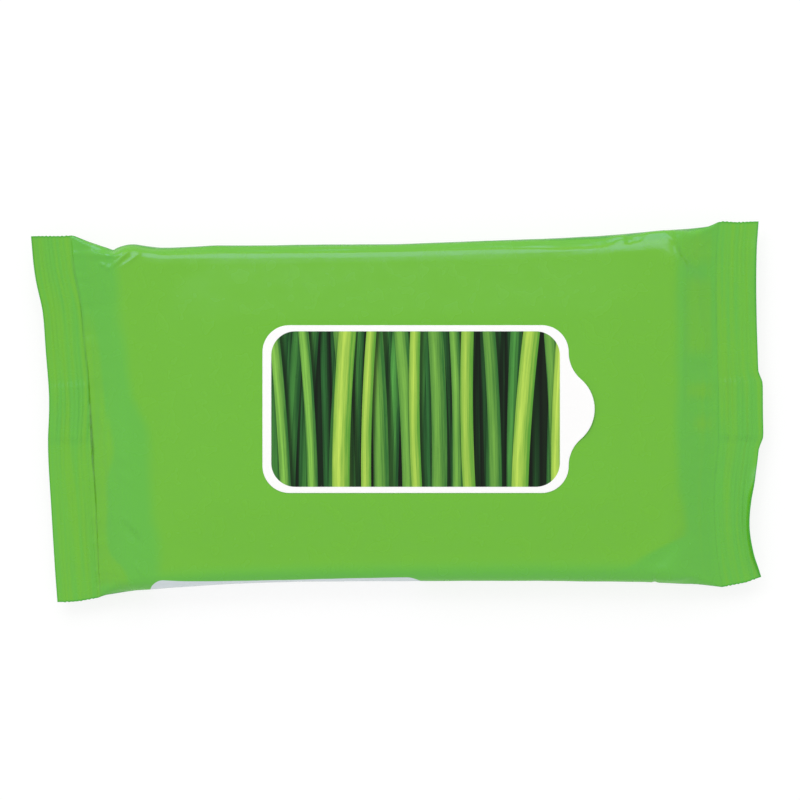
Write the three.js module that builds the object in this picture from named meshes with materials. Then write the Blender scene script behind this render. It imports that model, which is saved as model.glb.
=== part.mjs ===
// A pocket pack of wet wipes: a filled film pouch, crimped shut at both ends and along its back, with a peelable
// label over the opening. Millimetres. X runs along the pack, Y across it and Z up, and the pack lies on its back.
import * as THREE from "three";
import { mergeVertices } from "three/addons/utils/BufferGeometryUtils.js";

// Sizes of the filled pouch.
const PACK_LENGTH = 150;
const WAIST_WIDTH = 69.2;
const SIDE_HEIGHT = 8.6;
const CROWN_HEIGHT = 1.4;
const CORNER_RADIUS = 3;
const SHOULDER_LENGTH = 9.1;
const SHOULDER_RADIUS = 2;
const PACK_SLANT = 0.0225;

// Sizes of the two end seals. Their ribs run across the pack.
const SEAL_DEPTH = 8.4;
const SEAL_THICKNESS = 0.5;
const RIB_PITCH = 0.85;
const RIB_HEIGHT = 0.22;
const INNER_MARGIN = 0.5;
const OUTER_MARGIN = 1.05;

// Sizes of the fin, the seam along the back, which lies folded flat between the pouch and the table.
const FIN_WIDTH = 11.4;
const FIN_THICKNESS = 0.5;
const FIN_GAP = 0.3;
const FIN_LEAD = 4.5;
const FIN_STEP = 0.3;
const FIN_BULGE = 0.2;
const FIN_OVERHANG = 0.9;
const FIN_FLARE = 2.4;

// Sizes of the label and its pull tab, and of the flat margin round it on the front.
const LABEL_LENGTH = 62.6;
const LABEL_WIDTH = 34.3;
const LABEL_THICKNESS = 0.2;
const LABEL_CORNER = 5.5;
const LABEL_X = 3.9;
const LABEL_Y = 0.4;
const LABEL_MARGIN = 2.5;
const TAB_REACH = 5.3;
const TAB_RADIUS = 8.1;
const TAB_FILLET = 7.2;

// How many steps the film is divided into, along the pack and across it, and each arc of the label.
const WAIST_STEPS = 8;
const SHOULDER_STEPS = 11;
const SIDE_STEPS = 5;
const FACE_STEPS = 8;
const LEAD_STEPS = 2;
const FIN_STEPS = 3;
const ARC_STEPS = 5;

// The film laid flat is as wide as half the girth of the filled pouch, and so are the seals.
const FILM_WIDTH = WAIST_WIDTH + SIDE_HEIGHT - (4 - Math.PI) * CORNER_RADIUS;
const FILM_EDGE = FILM_WIDTH / 2;
const FACE_EDGE = WAIST_WIDTH / 2 - CORNER_RADIUS;
const FIN_EDGE = FIN_WIDTH / 2;
const PACK_THICKNESS = SIDE_HEIGHT + CROWN_HEIGHT;
const SEAL_HEIGHT = SIDE_HEIGHT / 2;
const SEAL_START = PACK_LENGTH / 2 - SEAL_DEPTH;
const STACK_END = SEAL_START - SHOULDER_LENGTH;
const SEAL_TIP = SHOULDER_LENGTH + SEAL_DEPTH;
const RIB_COUNT = Math.floor((SEAL_DEPTH - INNER_MARGIN - OUTER_MARGIN) / RIB_PITCH);

// How far from a seal the film still follows its bow, and how far from the side it is drawn in by a tuck.
const BOW_REACH = 30;
const TUCK_SPREAD = 5;

// The two sides of the pack, and the layers of its film: the front, the back, and the two faces of the fin.
const HIGH = 1;
const LOW = -1;
const FRONT = "front";
const BACK = "back";
const FIN_INSIDE = "fin inside";
const FIN_OUTSIDE = "fin outside";

const { lerp, clamp, smoothstep } = THREE.MathUtils;

// A smooth curve through [place, value] pairs, level past its ends.
function curveThrough(points) {
  const last = points.length - 1;
  const slopeAt = (i) => {
    const before = points[Math.max(i - 1, 0)];
    const after = points[Math.min(i + 1, last)];
    return (after[1] - before[1]) / (after[0] - before[0]);
  };
  return (place) => {
    if (place <= points[0][0]) return points[0][1];
    if (place >= points[last][0]) return points[last][1];
    const i = points.findIndex((point) => point[0] > place) - 1;
    const span = points[i + 1][0] - points[i][0];
    const t = (place - points[i][0]) / span;
    const rise = points[i + 1][1] - points[i][1];
    const start = slopeAt(i) * span;
    const end = slopeAt(i + 1) * span;
    return points[i][1] + t * (start + t * (3 * rise - 2 * start - end + t * (start + end - 2 * rise)));
  };
}

// Each end seal, from the low side of the pack (-1) to its high side (1): how far it is bowed towards the middle
// of the pack in mm, how far it curls up over its depth in radians, and how far the fin sticks out past it.
const LEFT_SEAL = {
  end: -1,
  bow: curveThrough([
    [-1, 5.25], [-0.8, 4.7], [-0.5, 3.95], [-0.2, 3.3], [0, 3.55], [0.12, 3.5], [0.35, 2.87], [0.6, 2.13],
    [0.8, 0.57], [1, -0.3],
  ]),
  curl: curveThrough([[-1, 0.1], [-0.3, -0.12], [0.4, 0.12], [1, 0.4]]),
  overhang: 0,
};
const RIGHT_SEAL = {
  end: 1,
  bow: curveThrough([
    [-1, -0.35], [-0.85, 0.55], [-0.67, 1.13], [-0.5, 1.37], [-0.35, 1.1], [-0.2, 0.5], [0, 0.55], [0.2, 0.6],
    [0.5, 0.93], [0.85, 0.9], [1, 0.5],
  ]),
  curl: curveThrough([[-1, 0.6], [-0.7, 1.2], [-0.5, 0.95], [-0.36, 0.35], [-0.2, 0], [0.3, 0.1], [0.65, 0.45], [1, 0.2]]),
  overhang: FIN_OVERHANG,
};

// Where the sides are tucked in, or let out if the depth is below 0: how far past the end of the stack and how deep
// the tuck is, and how far it runs from there to the seal and to the middle.
const TUCKS = [
  { end: -1, side: HIGH, past: 0.9, depth: 1.8, toSeal: 8, toMiddle: 3.8 },
  { end: -1, side: HIGH, past: -9, depth: 0.8, toSeal: 10, toMiddle: 12 },
  { end: -1, side: HIGH, past: SEAL_TIP, depth: -0.7, toSeal: 1, toMiddle: 8 },
  { end: 1, side: HIGH, past: 7, depth: 0.75, toSeal: 3.5, toMiddle: 11 },
  { end: 1, side: HIGH, past: SEAL_TIP, depth: -0.5, toSeal: 1, toMiddle: 5 },
  { end: 1, side: HIGH, past: -57, depth: 0.28, toSeal: 22, toMiddle: 20 },
  { end: -1, side: LOW, past: 7, depth: 0.85, toSeal: 9, toMiddle: 20 },
  { end: -1, side: LOW, past: SEAL_TIP, depth: 0.4, toSeal: 1, toMiddle: 5 },
  { end: 1, side: LOW, past: -20, depth: -0.98, toSeal: 35, toMiddle: 62 },
  { end: 1, side: LOW, past: SEAL_TIP, depth: 0.6, toSeal: 1, toMiddle: 3.5 },
];

// Folds in the front near the corners of the stack. Each runs between two points, given outwards from the corner
// along and across the pack, and has a height (a valley is below 0) and a reach to either side.
const FOLDS = [
  { end: -1, side: HIGH, from: [2.2, -4.2], to: [-3.4, 1.4], height: 0.8, reach: 1.9 },
  { end: -1, side: HIGH, from: [1.2, -5.2], to: [2.4, 1.2], height: -1.2, reach: 1.9 },
  { end: -1, side: LOW, from: [3, -13], to: [-3, -1], height: 0.5, reach: 2.2 },
  { end: 1, side: HIGH, from: [0.5, -3], to: [8, 2.5], height: 0.5, reach: 2 },
  { end: 1, side: LOW, from: [1, -6], to: [8, -1], height: 0.4, reach: 2.2 },
];

// A ramp from 0 at one place to 1 at another, with both of its bends rounded.
function roundedRamp(at, from, to, radius) {
  const bend = (d) => (d <= -radius ? 0 : d >= radius ? d : (d + radius) ** 2 / (4 * radius));
  return (bend(at - from) - bend(at - to)) / (to - from);
}

// The pouch in section at one place along it: half its width, its lowest and highest film, the radius of its
// edges, and how far it is flattened towards the seal, from 0 to 1.
function sectionAt(along) {
  const distance = Math.abs(along);
  const flat = roundedRamp(distance, STACK_END, SEAL_START, SHOULDER_RADIUS);
  const half = lerp(WAIST_WIDTH / 2, FILM_EDGE, Math.min(distance / SEAL_START, 1) ** 4);
  const low = lerp(0, SEAL_HEIGHT - SEAL_THICKNESS / 2, flat);
  const high = lerp(SIDE_HEIGHT, SEAL_HEIGHT + SEAL_THICKNESS / 2, flat);
  return { flat, half, low, high, radius: Math.min(CORNER_RADIUS, (high - low) / 2) };
}

// Where a point of the film comes to lie in section, by its place across the film laid flat: its place across
// the pack, and its distance above or below mid-height.
function outlineAt({ half, low, high, radius }, place) {
  const wall = (high - low) / 2 - radius;
  const arc = (Math.PI / 2) * radius;
  const stretch = (half - radius + wall + arc) / FILM_EDGE;
  const run = (FILM_EDGE - Math.abs(place)) * stretch;
  let across = half;
  let up = run;
  if (run > wall + arc) {
    across = half - radius - (run - wall - arc);
    up = wall + radius;
  } else if (run > wall) {
    const turn = (run - wall) / radius;
    across = half - radius + radius * Math.cos(turn);
    up = wall + radius * Math.sin(turn);
  }
  return [place < 0 ? -across : across, up];
}

// How far the front stands above its sides: a flat field under the label, falling away round it.
function crownAt(along, across) {
  const fieldX = LABEL_LENGTH / 2 + TAB_REACH + LABEL_MARGIN;
  const fieldY = LABEL_WIDTH / 2 + LABEL_MARGIN;
  const pastX = Math.max(Math.abs(along - LABEL_X) - fieldX, 0) / (STACK_END - Math.abs(LABEL_X) - fieldX);
  const pastY = Math.max(Math.abs(across - LABEL_Y) - fieldY, 0) / (FACE_EDGE - Math.abs(LABEL_Y) - fieldY);
  return CROWN_HEIGHT * (1 - smoothstep(Math.hypot(pastX, pastY), 0, 1));
}

// The height of the folds at a point of the front.
function foldsAt(along, across, half) {
  const point = new THREE.Vector3(along, across, 0);
  const nearest = new THREE.Vector3();
  const line = new THREE.Line3();
  let total = 0;
  for (const { end, side, from, to, height, reach } of FOLDS) {
    const corner = new THREE.Vector3(end * STACK_END, side * (half - CORNER_RADIUS), 0);
    line.start.set(end * from[0], side * from[1], 0).add(corner);
    line.end.set(end * to[0], side * to[1], 0).add(corner);
    const share = line.closestPointToPointParameter(point, true);
    const aside = point.distanceTo(line.at(share, nearest)) / reach;
    total += height * Math.max(0, 1 - aside) * Math.sin(Math.PI * lerp(0.15, 0.85, share));
  }
  return total;
}

// How far the sides are tucked in, across the pack.
function tuckAt(along, across, half) {
  let shift = 0;
  for (const { end, side, past, depth, toSeal, toMiddle } of TUCKS) {
    const from = end * along - STACK_END - past;
    const near = Math.max(0, 1 - Math.abs(from) / (from > 0 ? toSeal : toMiddle));
    const spread = clamp(1 - (half - side * across) / TUCK_SPREAD, 0, 1);
    shift -= side * depth * near * spread;
  }
  return shift;
}

// How far the sides are shifted by the slant of the pack. Its middle line stays where it is.
function slantAt(along, share) {
  return PACK_SLANT * along * Math.abs(share);
}

// How wide the slot between the pouch and the fin stands open. It shuts before the shoulders.
function slotAt(along) {
  const open = 1 - smoothstep(Math.abs(along), STACK_END - FIN_EDGE, STACK_END - SHOULDER_RADIUS);
  return open < 0.02 ? 0 : FIN_GAP * open;
}

// How far a layer on the back lies above the lowest film of its section.
function liftAt(along, place, layer, flat) {
  if (layer === FIN_OUTSIDE) return -FIN_THICKNESS * flat;
  if (layer === FIN_INSIDE) return FIN_THICKNESS * (1 - flat);
  const overFin = place > FIN_EDGE ? 0 : smoothstep(place, -FIN_EDGE - FIN_LEAD, -FIN_EDGE);
  return overFin * (FIN_THICKNESS * (1 - flat) + slotAt(along));
}

// The height of the crimped ribs at a depth into a seal: pointed ridges between two plain margins.
function ribAt(depth) {
  const inBand = (depth - INNER_MARGIN) / RIB_PITCH;
  if (inBand <= 0 || inBand >= RIB_COUNT) return 0;
  return RIB_HEIGHT * (1 - 2 * Math.abs(2 * (inBand % 1) - 1));
}

// How far out and how far up an arc of a length reaches when it turns upwards through an angle.
function arcReach(length, turn) {
  if (Math.abs(turn) < 1e-6) return [length, 0];
  return [(length / turn) * Math.sin(turn), (length / turn) * (1 - Math.cos(turn))];
}

// A point of an end seal: the band is bowed in plan, curled up and ribbed, and thicker where the fin runs in.
function sealPoint(seal, depth, place, layer) {
  const innerEdge = (at) => {
    const along = seal.end * SEAL_START;
    return new THREE.Vector2(along - seal.end * seal.bow(at / FILM_EDGE), at + slantAt(along, at / FILM_EDGE));
  };
  const [above, below] = [Math.min(place + 1, FILM_EDGE), Math.max(place - 1, -FILM_EDGE)];
  const tangent = innerEdge(above).sub(innerEdge(below)).normalize();
  const outward = new THREE.Vector2(tangent.y, -tangent.x).multiplyScalar(seal.end);
  const onFin = 1 - smoothstep(Math.abs(place), FIN_EDGE, FIN_EDGE + FIN_STEP);
  let offset = ribAt(depth) * (1 + onFin / 2);
  if (Math.abs(place) < FILM_EDGE) offset += (layer === FRONT ? 1 : -1) * (SEAL_THICKNESS / 2);
  if (layer === FRONT) offset += FIN_BULGE * onFin * smoothstep(depth, 0, INNER_MARGIN);
  if (layer === FIN_OUTSIDE) offset -= FIN_THICKNESS;
  const turn = (seal.curl(place / FILM_EDGE) * depth) / SEAL_DEPTH;
  const [out, up] = arcReach(depth, turn);
  const nearFin = 1 - smoothstep(Math.abs(place), FIN_EDGE - FIN_STEP, FIN_EDGE + FIN_FLARE);
  const overhang = (seal.overhang * nearFin * depth) / SEAL_DEPTH;
  const aside = tuckAt(seal.end * (SEAL_START + depth), place, FILM_EDGE);
  const plan = innerEdge(place).addScaledVector(outward, out - Math.sin(turn) * offset + overhang);
  return new THREE.Vector3(plan.x, plan.y + aside, SEAL_HEIGHT + up + Math.cos(turn) * offset);
}

// Where a point of the film lies, by its place along and across the film laid flat and its layer.
function filmPoint(along, place, layer) {
  const seal = along < 0 ? LEFT_SEAL : RIGHT_SEAL;
  const depth = Math.abs(along) - SEAL_START;
  if (depth > 0) return sealPoint(seal, depth, place, layer);
  const section = sectionAt(along);
  const [across, up] = outlineAt(section, place);
  const middle = (section.low + section.high) / 2;
  let z = middle - up + liftAt(along, place, layer, section.flat);
  if (layer === FRONT) {
    const share = up / (section.high - middle);
    z = middle + up + crownAt(along, across) + share * foldsAt(along, across, section.half);
  }
  const bowed = clamp(1 + depth / BOW_REACH, 0, 1) ** 1.5;
  const x = along - seal.end * seal.bow(place / FILM_EDGE) * bowed;
  const y = across + tuckAt(along, across, section.half) + slantAt(along, across / section.half);
  return new THREE.Vector3(x, y, z);
}

// Evenly spaced values from one to another, the last left out.
function steps(from, to, count) {
  return Array.from({ length: count }, (_, i) => lerp(from, to, i / count));
}

// The places along the film where the pouch has a section: close together at the shoulders and on each rib.
function filmStations() {
  const shoulder = STACK_END - SHOULDER_LENGTH;
  const ribStart = SEAL_START + INNER_MARGIN;
  const ribEnd = ribStart + RIB_COUNT * RIB_PITCH;
  const outwards = [
    ...steps(0, shoulder, WAIST_STEPS),
    ...steps(shoulder, SEAL_START, SHOULDER_STEPS),
    SEAL_START,
    ...steps(ribStart, ribEnd, 2 * RIB_COUNT),
    ribEnd,
    SEAL_START + SEAL_DEPTH,
  ];
  return [...outwards.slice(1).reverse().map((along) => -along), ...outwards];
}

// The way round the film in section: over the front from the high side to the low side, then home along the back,
// which goes into the slot and round the fin on the way. A column says whether the film after it is in the slot.
function filmColumns() {
  const fold = FIN_EDGE - FIN_THICKNESS;
  const lead = FIN_EDGE + FIN_LEAD;
  const step = FIN_EDGE + FIN_STEP;
  const slot = [...steps(-FIN_EDGE, fold, FIN_STEPS), fold];
  const fin = [...steps(-FIN_EDGE, FIN_EDGE, FIN_STEPS), FIN_EDGE];
  const front = [
    ...steps(FILM_EDGE, FACE_EDGE, SIDE_STEPS),
    ...steps(FACE_EDGE, step, FACE_STEPS),
    step,
    ...fin.toReversed(),
    ...steps(-step, -FACE_EDGE, FACE_STEPS),
    ...steps(-FACE_EDGE, -FILM_EDGE, SIDE_STEPS),
  ];
  const backToFin = [
    ...steps(-FILM_EDGE, -FACE_EDGE, SIDE_STEPS),
    ...steps(-FACE_EDGE, -lead, FACE_STEPS - LEAD_STEPS),
    ...steps(-lead, -FIN_EDGE, LEAD_STEPS),
  ];
  const backFromFin = [
    ...steps(step, FACE_EDGE, FACE_STEPS),
    ...steps(FACE_EDGE, FILM_EDGE, SIDE_STEPS),
  ];
  const columns = (layer, places, inSlot = false) => places.map((place) => ({ layer, place, inSlot }));
  return [
    ...columns(FRONT, front),
    ...columns(BACK, backToFin),
    ...columns(BACK, slot, true),
    ...columns(FIN_INSIDE, slot.slice(1).toReversed(), true),
    ...columns(FIN_INSIDE, [-FIN_EDGE]),
    ...columns(FIN_OUTSIDE, fin),
    ...columns(BACK, backFromFin),
  ];
}

// The triangles that close one end of the film, between its front and its back. Both run from the high side to
// the low side, and the triangles face towards the low end of the pack.
function endTriangles(columns, front, back) {
  const triangles = [];
  const placeOf = (chain, i) => (i < chain.length ? columns[chain[i]].place : -Infinity);
  let [i, j] = [0, 0];
  while (i < front.length - 1 || j < back.length - 1) {
    if (placeOf(front, i + 1) >= placeOf(back, j + 1)) {
      triangles.push([front[i], back[j], front[i + 1]]);
      i += 1;
    } else {
      triangles.push([front[i], back[j], back[j + 1]]);
      j += 1;
    }
  }
  return triangles;
}

// A closed geometry from its points and triangles, with like points joined and empty triangles left out.
function closedGeometry(points, triangles) {
  const loose = new THREE.BufferGeometry().setFromPoints(points);
  loose.setIndex(triangles.flat());
  const joined = mergeVertices(loose, 1e-3);
  const corners = [...joined.index.array];
  const kept = triangles
    .map((_, i) => corners.slice(3 * i, 3 * i + 3))
    .filter(([a, b, c]) => a !== b && b !== c && c !== a);
  joined.setIndex(kept.flat());
  joined.computeVertexNormals();
  return joined;
}

// The pouch: the film lofted over its stations, with the cut edge of a seal at each end. Where the slot behind
// the fin is shut, the two faces in it are left out.
function pouchGeometry() {
  const stations = filmStations();
  const columns = filmColumns();
  const count = columns.length;
  const points = stations.flatMap((along) => columns.map(({ place, layer }) => filmPoint(along, place, layer)));
  const triangles = [];
  for (let i = 0; i < stations.length - 1; i++) {
    const shut = slotAt(stations[i]) === 0 && slotAt(stations[i + 1]) === 0;
    for (let k = 0; k < count; k++) {
      const next = (k + 1) % count;
      if (shut && columns[k].inSlot) continue;
      const [a, b] = [i * count + k, i * count + next];
      triangles.push([a, b, b + count], [a, b + count, a + count]);
    }
  }
  const all = [...columns.keys()];
  const front = all.filter((k) => columns[k].layer === FRONT);
  const back = all.filter((k) => columns[k].layer !== FRONT && !columns[k].inSlot);
  const ends = endTriangles(columns, [...front, back[0]], [0, ...back.toReversed()]);
  const lastStation = (stations.length - 1) * count;
  triangles.push(...ends);
  triangles.push(...ends.map(([a, b, c]) => [lastStation + a, lastStation + c, lastStation + b]));
  return closedGeometry(points, triangles);
}

// The label's outline: a rectangle with round corners, and a tab in the middle of its right side, whose round end
// runs back into that side through two hollow curves.
function labelShape() {
  const right = LABEL_LENGTH / 2;
  const top = LABEL_WIDTH / 2;
  const centre = TAB_REACH - TAB_RADIUS;
  const root = Math.sqrt((TAB_RADIUS + TAB_FILLET) ** 2 - (TAB_FILLET - centre) ** 2);
  const turn = Math.atan2(root, TAB_FILLET - centre);
  const corner = Math.min(LABEL_CORNER, top - root);
  const shape = new THREE.Shape();
  shape.moveTo(right, -root);
  shape.absarc(right + TAB_FILLET, -root, TAB_FILLET, Math.PI, Math.PI - turn, true);
  shape.absarc(right + centre, 0, TAB_RADIUS, -turn, turn, false);
  shape.absarc(right + TAB_FILLET, root, TAB_FILLET, Math.PI + turn, Math.PI, true);
  shape.absarc(right - corner, top - corner, corner, 0, Math.PI / 2, false);
  shape.absarc(corner - right, top - corner, corner, Math.PI / 2, Math.PI, false);
  shape.absarc(corner - right, corner - top, corner, Math.PI, 1.5 * Math.PI, false);
  shape.absarc(right - corner, corner - top, corner, 1.5 * Math.PI, 2 * Math.PI, false);
  return shape;
}

// The label lies flat on the front of the pouch.
function labelGeometry() {
  return new THREE.ExtrudeGeometry(labelShape(), {
    depth: LABEL_THICKNESS,
    bevelEnabled: false,
    curveSegments: ARC_STEPS,
  });
}

const greenFilm = new THREE.MeshStandardMaterial({ color: 0x72bc47, roughness: 0.35, metalness: 0 });
const whiteFilm = new THREE.MeshStandardMaterial({ color: 0xf4f3f4, roughness: 0.3, metalness: 0 });

const pouch = new THREE.Mesh(pouchGeometry(), greenFilm);
pouch.name = "film_pouch";

const label = new THREE.Mesh(labelGeometry(), whiteFilm);
label.name = "reseal_label";
label.position.set(LABEL_X, LABEL_Y, PACK_THICKNESS);

// The origin is on the table, under the middle of the pack.
const pack = new THREE.Group();
pack.add(pouch, label);
const middle = new THREE.Box3().setFromObject(pack).getCenter(new THREE.Vector3());
pack.position.set(-middle.x, -middle.y, 0);

export default pack;
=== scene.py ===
"""Looks of a pocket pack of wet wipes: a film pouch with crimped seals, and a printed label on its front.

The pack lies on its back on a pale table and is seen from above, with the label up. Sizes are in millimetres,
with X along the pack and Y across it, and a finished mesh is written in metres.
"""

import logging
import math
import random
from dataclasses import dataclass, field
from enum import Enum, IntEnum

import bmesh
import bpy
import numpy as np
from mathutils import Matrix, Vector, noise


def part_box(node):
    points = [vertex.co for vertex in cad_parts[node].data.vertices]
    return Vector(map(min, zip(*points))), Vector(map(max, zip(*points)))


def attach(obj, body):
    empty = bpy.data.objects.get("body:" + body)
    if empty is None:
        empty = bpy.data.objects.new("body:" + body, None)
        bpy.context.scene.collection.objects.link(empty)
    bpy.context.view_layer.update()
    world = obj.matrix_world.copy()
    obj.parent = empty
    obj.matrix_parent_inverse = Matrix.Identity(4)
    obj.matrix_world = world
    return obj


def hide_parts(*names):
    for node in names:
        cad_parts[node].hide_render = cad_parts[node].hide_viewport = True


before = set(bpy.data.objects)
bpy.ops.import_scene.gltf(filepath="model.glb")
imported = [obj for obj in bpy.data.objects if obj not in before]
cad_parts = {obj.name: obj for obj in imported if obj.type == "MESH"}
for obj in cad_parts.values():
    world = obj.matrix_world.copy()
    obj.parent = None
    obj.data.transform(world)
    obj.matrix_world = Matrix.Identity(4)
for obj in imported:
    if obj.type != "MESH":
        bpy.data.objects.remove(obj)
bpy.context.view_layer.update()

LOG = logging.getLogger("wipes_pack")
MM = 0.001

Point = tuple[float, float]
Point3 = tuple[float, float, float]
Colour = tuple[float, float, float, float]
Array = np.ndarray
Mesh = bpy.types.Mesh
Piece = bpy.types.Object
Node = bpy.types.Node
Socket = bpy.types.NodeSocket
Tree = bpy.types.NodeTree

WHITE: Colour = (1.0, 1.0, 1.0, 1.0)
TO_MM: Point3 = (1 / MM, 1 / MM, 1 / MM)
SMOOTH_UP_TO = math.radians(50)
TINY = 1e-9
LEAST_CURL = 1e-6
LEAST_STEP = 1e-6


class End(IntEnum):
    """The two ends of the pack."""

    LEFT = -1
    RIGHT = 1


class Side(IntEnum):
    """The two long sides of the pack."""

    LOW = -1
    HIGH = 1


class Layer(Enum):
    """The layers of film that a cut through the pack meets, in their order on the way round."""

    FRONT = "front"
    BACK = "back"
    FIN_INSIDE = "fin inside"
    FIN_OUTSIDE = "fin outside"


class Profile(Enum):
    """The section of a crease: a rounded swell, or a sharp fold with hollow flanks."""

    SOFT = "soft"
    SHARP = "sharp"


def blend(low: Array | float, high: Array | float, share: Array) -> Array:
    """Goes straight from one value to another as the share goes from 0 to 1."""
    return low + (high - low) * share


def ease(value: Array, start: Array | float, stop: Array | float) -> Array:
    """Rises smoothly from 0 to 1 as the value goes from start to stop."""
    share = np.clip((value - start) / (stop - start), 0, 1)
    return share * share * (3 - 2 * share)


def step_up(value: Array, softness: Array | float) -> Array:
    """Rises smoothly from 0 to 1 as the value passes 0, over the softness on either side."""
    return ease(value, -softness, softness)


def rounded_ramp(value: Array, start: float, stop: float, radius: float) -> Array:
    """Rises from 0 to 1 in a straight line, with both of its bends rounded.

    Args:
        value: Where the ramp is read.
        start: Where it leaves 0.
        stop: Where it reaches 1.
        radius: How far each bend reaches to either side.

    Returns:
        The ramp's height at each value.
    """

    def bend(distance: Array) -> Array:
        """Is 0 before the bend and the distance itself after it."""
        curved = (distance + radius) ** 2 / (4 * radius)
        return np.where(distance <= -radius, 0, np.where(distance >= radius, distance, curved))

    return (bend(value - start) - bend(value - stop)) / (stop - start)


@dataclass(frozen=True)
class Wander:
    """A smooth uneven surface, the same on each run, with the lengths of its swells both ways.

    The seed picks one of many such surfaces.
    """

    height: float
    length_x: float
    length_y: float
    seed: float

    def __call__(self, x: Array, y: Array) -> Array:
        """Gives the surface's height at each point, about as far below 0 as above it.

        Args:
            x: Places along the pack.
            y: Places across it.

        Returns:
            The height at each point.
        """
        flat_x = (np.asarray(x, float) / self.length_x).ravel()
        flat_y = (np.asarray(y, float) / self.length_y).ravel()
        heights = [noise.noise(Vector((a, b, self.seed))) for a, b in zip(flat_x, flat_y)]
        return self.height * np.array(heights).reshape(np.shape(x))


@dataclass(frozen=True)
class Window:
    """A stretch that is eased in over one pair of places and out over another."""

    rise: Point
    fall: Point

    def __call__(self, place: Array) -> Array:
        """Gives how much of the stretch is there at each place, from 0 to 1."""
        return ease(place, *self.rise) * (1 - ease(place, *self.fall))


@dataclass(frozen=True)
class SmoothCurve:
    """A smooth curve through (place, value) points, level past its ends."""

    points: tuple[Point, ...]

    def __call__(self, place: Array) -> Array:
        """Gives the curve's value at each place.

        Args:
            place: Where the curve is read.

        Returns:
            The value at each place.
        """
        at, values = np.array(self.points, float).T
        before = np.maximum(np.arange(len(at)) - 1, 0)
        after = np.minimum(np.arange(len(at)) + 1, len(at) - 1)
        slopes = (values[after] - values[before]) / (at[after] - at[before])
        i = np.clip(np.searchsorted(at, place, side="right") - 1, 0, len(at) - 2)
        span = at[i + 1] - at[i]
        t = np.clip((place - at[i]) / span, 0, 1)
        rise = values[i + 1] - values[i]
        start = slopes[i] * span
        end = slopes[i + 1] * span
        return values[i] + t * (start + t * (3 * rise - 2 * start - end + t * (start + end - 2 * rise)))


@dataclass(frozen=True)
class EndSeal:
    """The run of one end seal, from the low side of the pack (-1) to its high side (1)."""

    end: End
    bow: SmoothCurve
    curl: SmoothCurve
    curl_from: float
    squeeze: SmoothCurve
    overhang: float
    crease_inset: SmoothCurve
    crease_width: SmoothCurve
    stitch: float


@dataclass(frozen=True)
class Tuck:
    """A place where a side is drawn in, given from the end of the stack."""

    end: End
    side: Side
    past: float
    depth: float
    to_seal: float
    to_middle: float
    cusp: float = 0.5
    rounding: float = 1.0


@dataclass(frozen=True)
class Crease:
    """A fold in the film near a corner of the stack, given outwards from that corner, along and across."""

    end: End
    side: Side
    start: Point
    stop: Point
    height: float
    width: float
    profile: Profile = Profile.SOFT
    sag: float = 0.0
    sharpness: float = 1.6
    taper: Point = (0.15, 0.85)

    def heights(self, x: Array, y: Array, corner: Point) -> Array:
        """Gives how high the fold stands at points of the front.

        Args:
            x: The points' places along the pack.
            y: Their places across it.
            corner: The corner of the stack, in plan.

        Returns:
            The height at each point.
        """
        start_x, stop_x = (corner[0] + self.end * past[0] for past in (self.start, self.stop))
        start_y, stop_y = (corner[1] + self.side * past[1] for past in (self.start, self.stop))
        run_x, run_y = stop_x - start_x, stop_y - start_y
        length = math.hypot(run_x, run_y)
        along = ((x - start_x) * run_x + (y - start_y) * run_y) / length**2
        share = np.clip(along, 0, 1)
        beyond = (along - share) * length
        aside = ((x - start_x) * run_y - (y - start_y) * run_x) / length
        aside = aside - 4 * self.sag * share * (1 - share)
        distance = np.minimum(np.hypot(beyond, aside) / self.width, 1)
        if self.profile is Profile.SHARP:
            section = (1 - distance) ** self.sharpness
        else:
            section = 0.5 + 0.5 * np.cos(math.pi * distance)
        return self.height * section * np.sin(math.pi * blend(*self.taper, share))


@dataclass(frozen=True)
class Patch:
    """A stretch of the front that is held more or less closely than what lies round it, with soft edges."""

    centre: Point
    half: Point
    softness: float
    hold: float

    def cover(self, x: Array, y: Array) -> Array:
        """Gives how much the patch covers each point, from 0 to 1.

        Args:
            x: Places along the pack.
            y: Places across it.

        Returns:
            The share at each point.
        """
        past_x = step_up(np.abs(x - self.centre[0]) - self.half[0], self.softness)
        past_y = step_up(np.abs(y - self.centre[1]) - self.half[1], self.softness)
        return (1 - past_x) * (1 - past_y)


@dataclass(frozen=True)
class Pleat:
    """A tension line that runs out of an end seal into the body of the pouch."""

    place: float
    height: float
    width: float
    reach: float
    lean: float
    fan: float


LEFT_SEAL = EndSeal(
    end=End.LEFT,
    bow=SmoothCurve(
        (
            (-1, 5.25), (-0.8, 4.7), (-0.5, 3.95), (-0.2, 3.3), (0, 3.55), (0.12, 3.5), (0.35, 2.87),
            (0.6, 2.13), (0.8, 0.57), (1, -0.3),
        )
    ),
    curl=SmoothCurve(((-1, 0.1), (-0.3, -0.12), (0.4, 0.12), (1, 0.4))),
    curl_from=0.0,
    squeeze=SmoothCurve(((-1, 0), (1, 0))),
    overhang=0.0,
    crease_inset=SmoothCurve(
        (
            (-1, 0.6), (-0.8, 0.75), (-0.6, 0.9), (-0.385, 1.0), (-0.27, 0.8), (-0.19, 0.7), (-0.1, 0.3),
            (0.06, -0.15), (0.23, -0.25), (0.45, -0.5), (0.62, -0.5), (1, -0.1),
        )
    ),
    crease_width=SmoothCurve(
        (
            (-1, 0.16), (-0.81, 0.3), (-0.5, 0.42), (-0.3, 0.52), (-0.19, 0.78), (-0.1, 0.68), (0, 0.52),
            (0.14, 0.38), (0.4, 0.34), (0.7, 0.32), (0.86, 0.17), (1, 0.09),
        )
    ),
    stitch=0.3,
)
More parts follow.
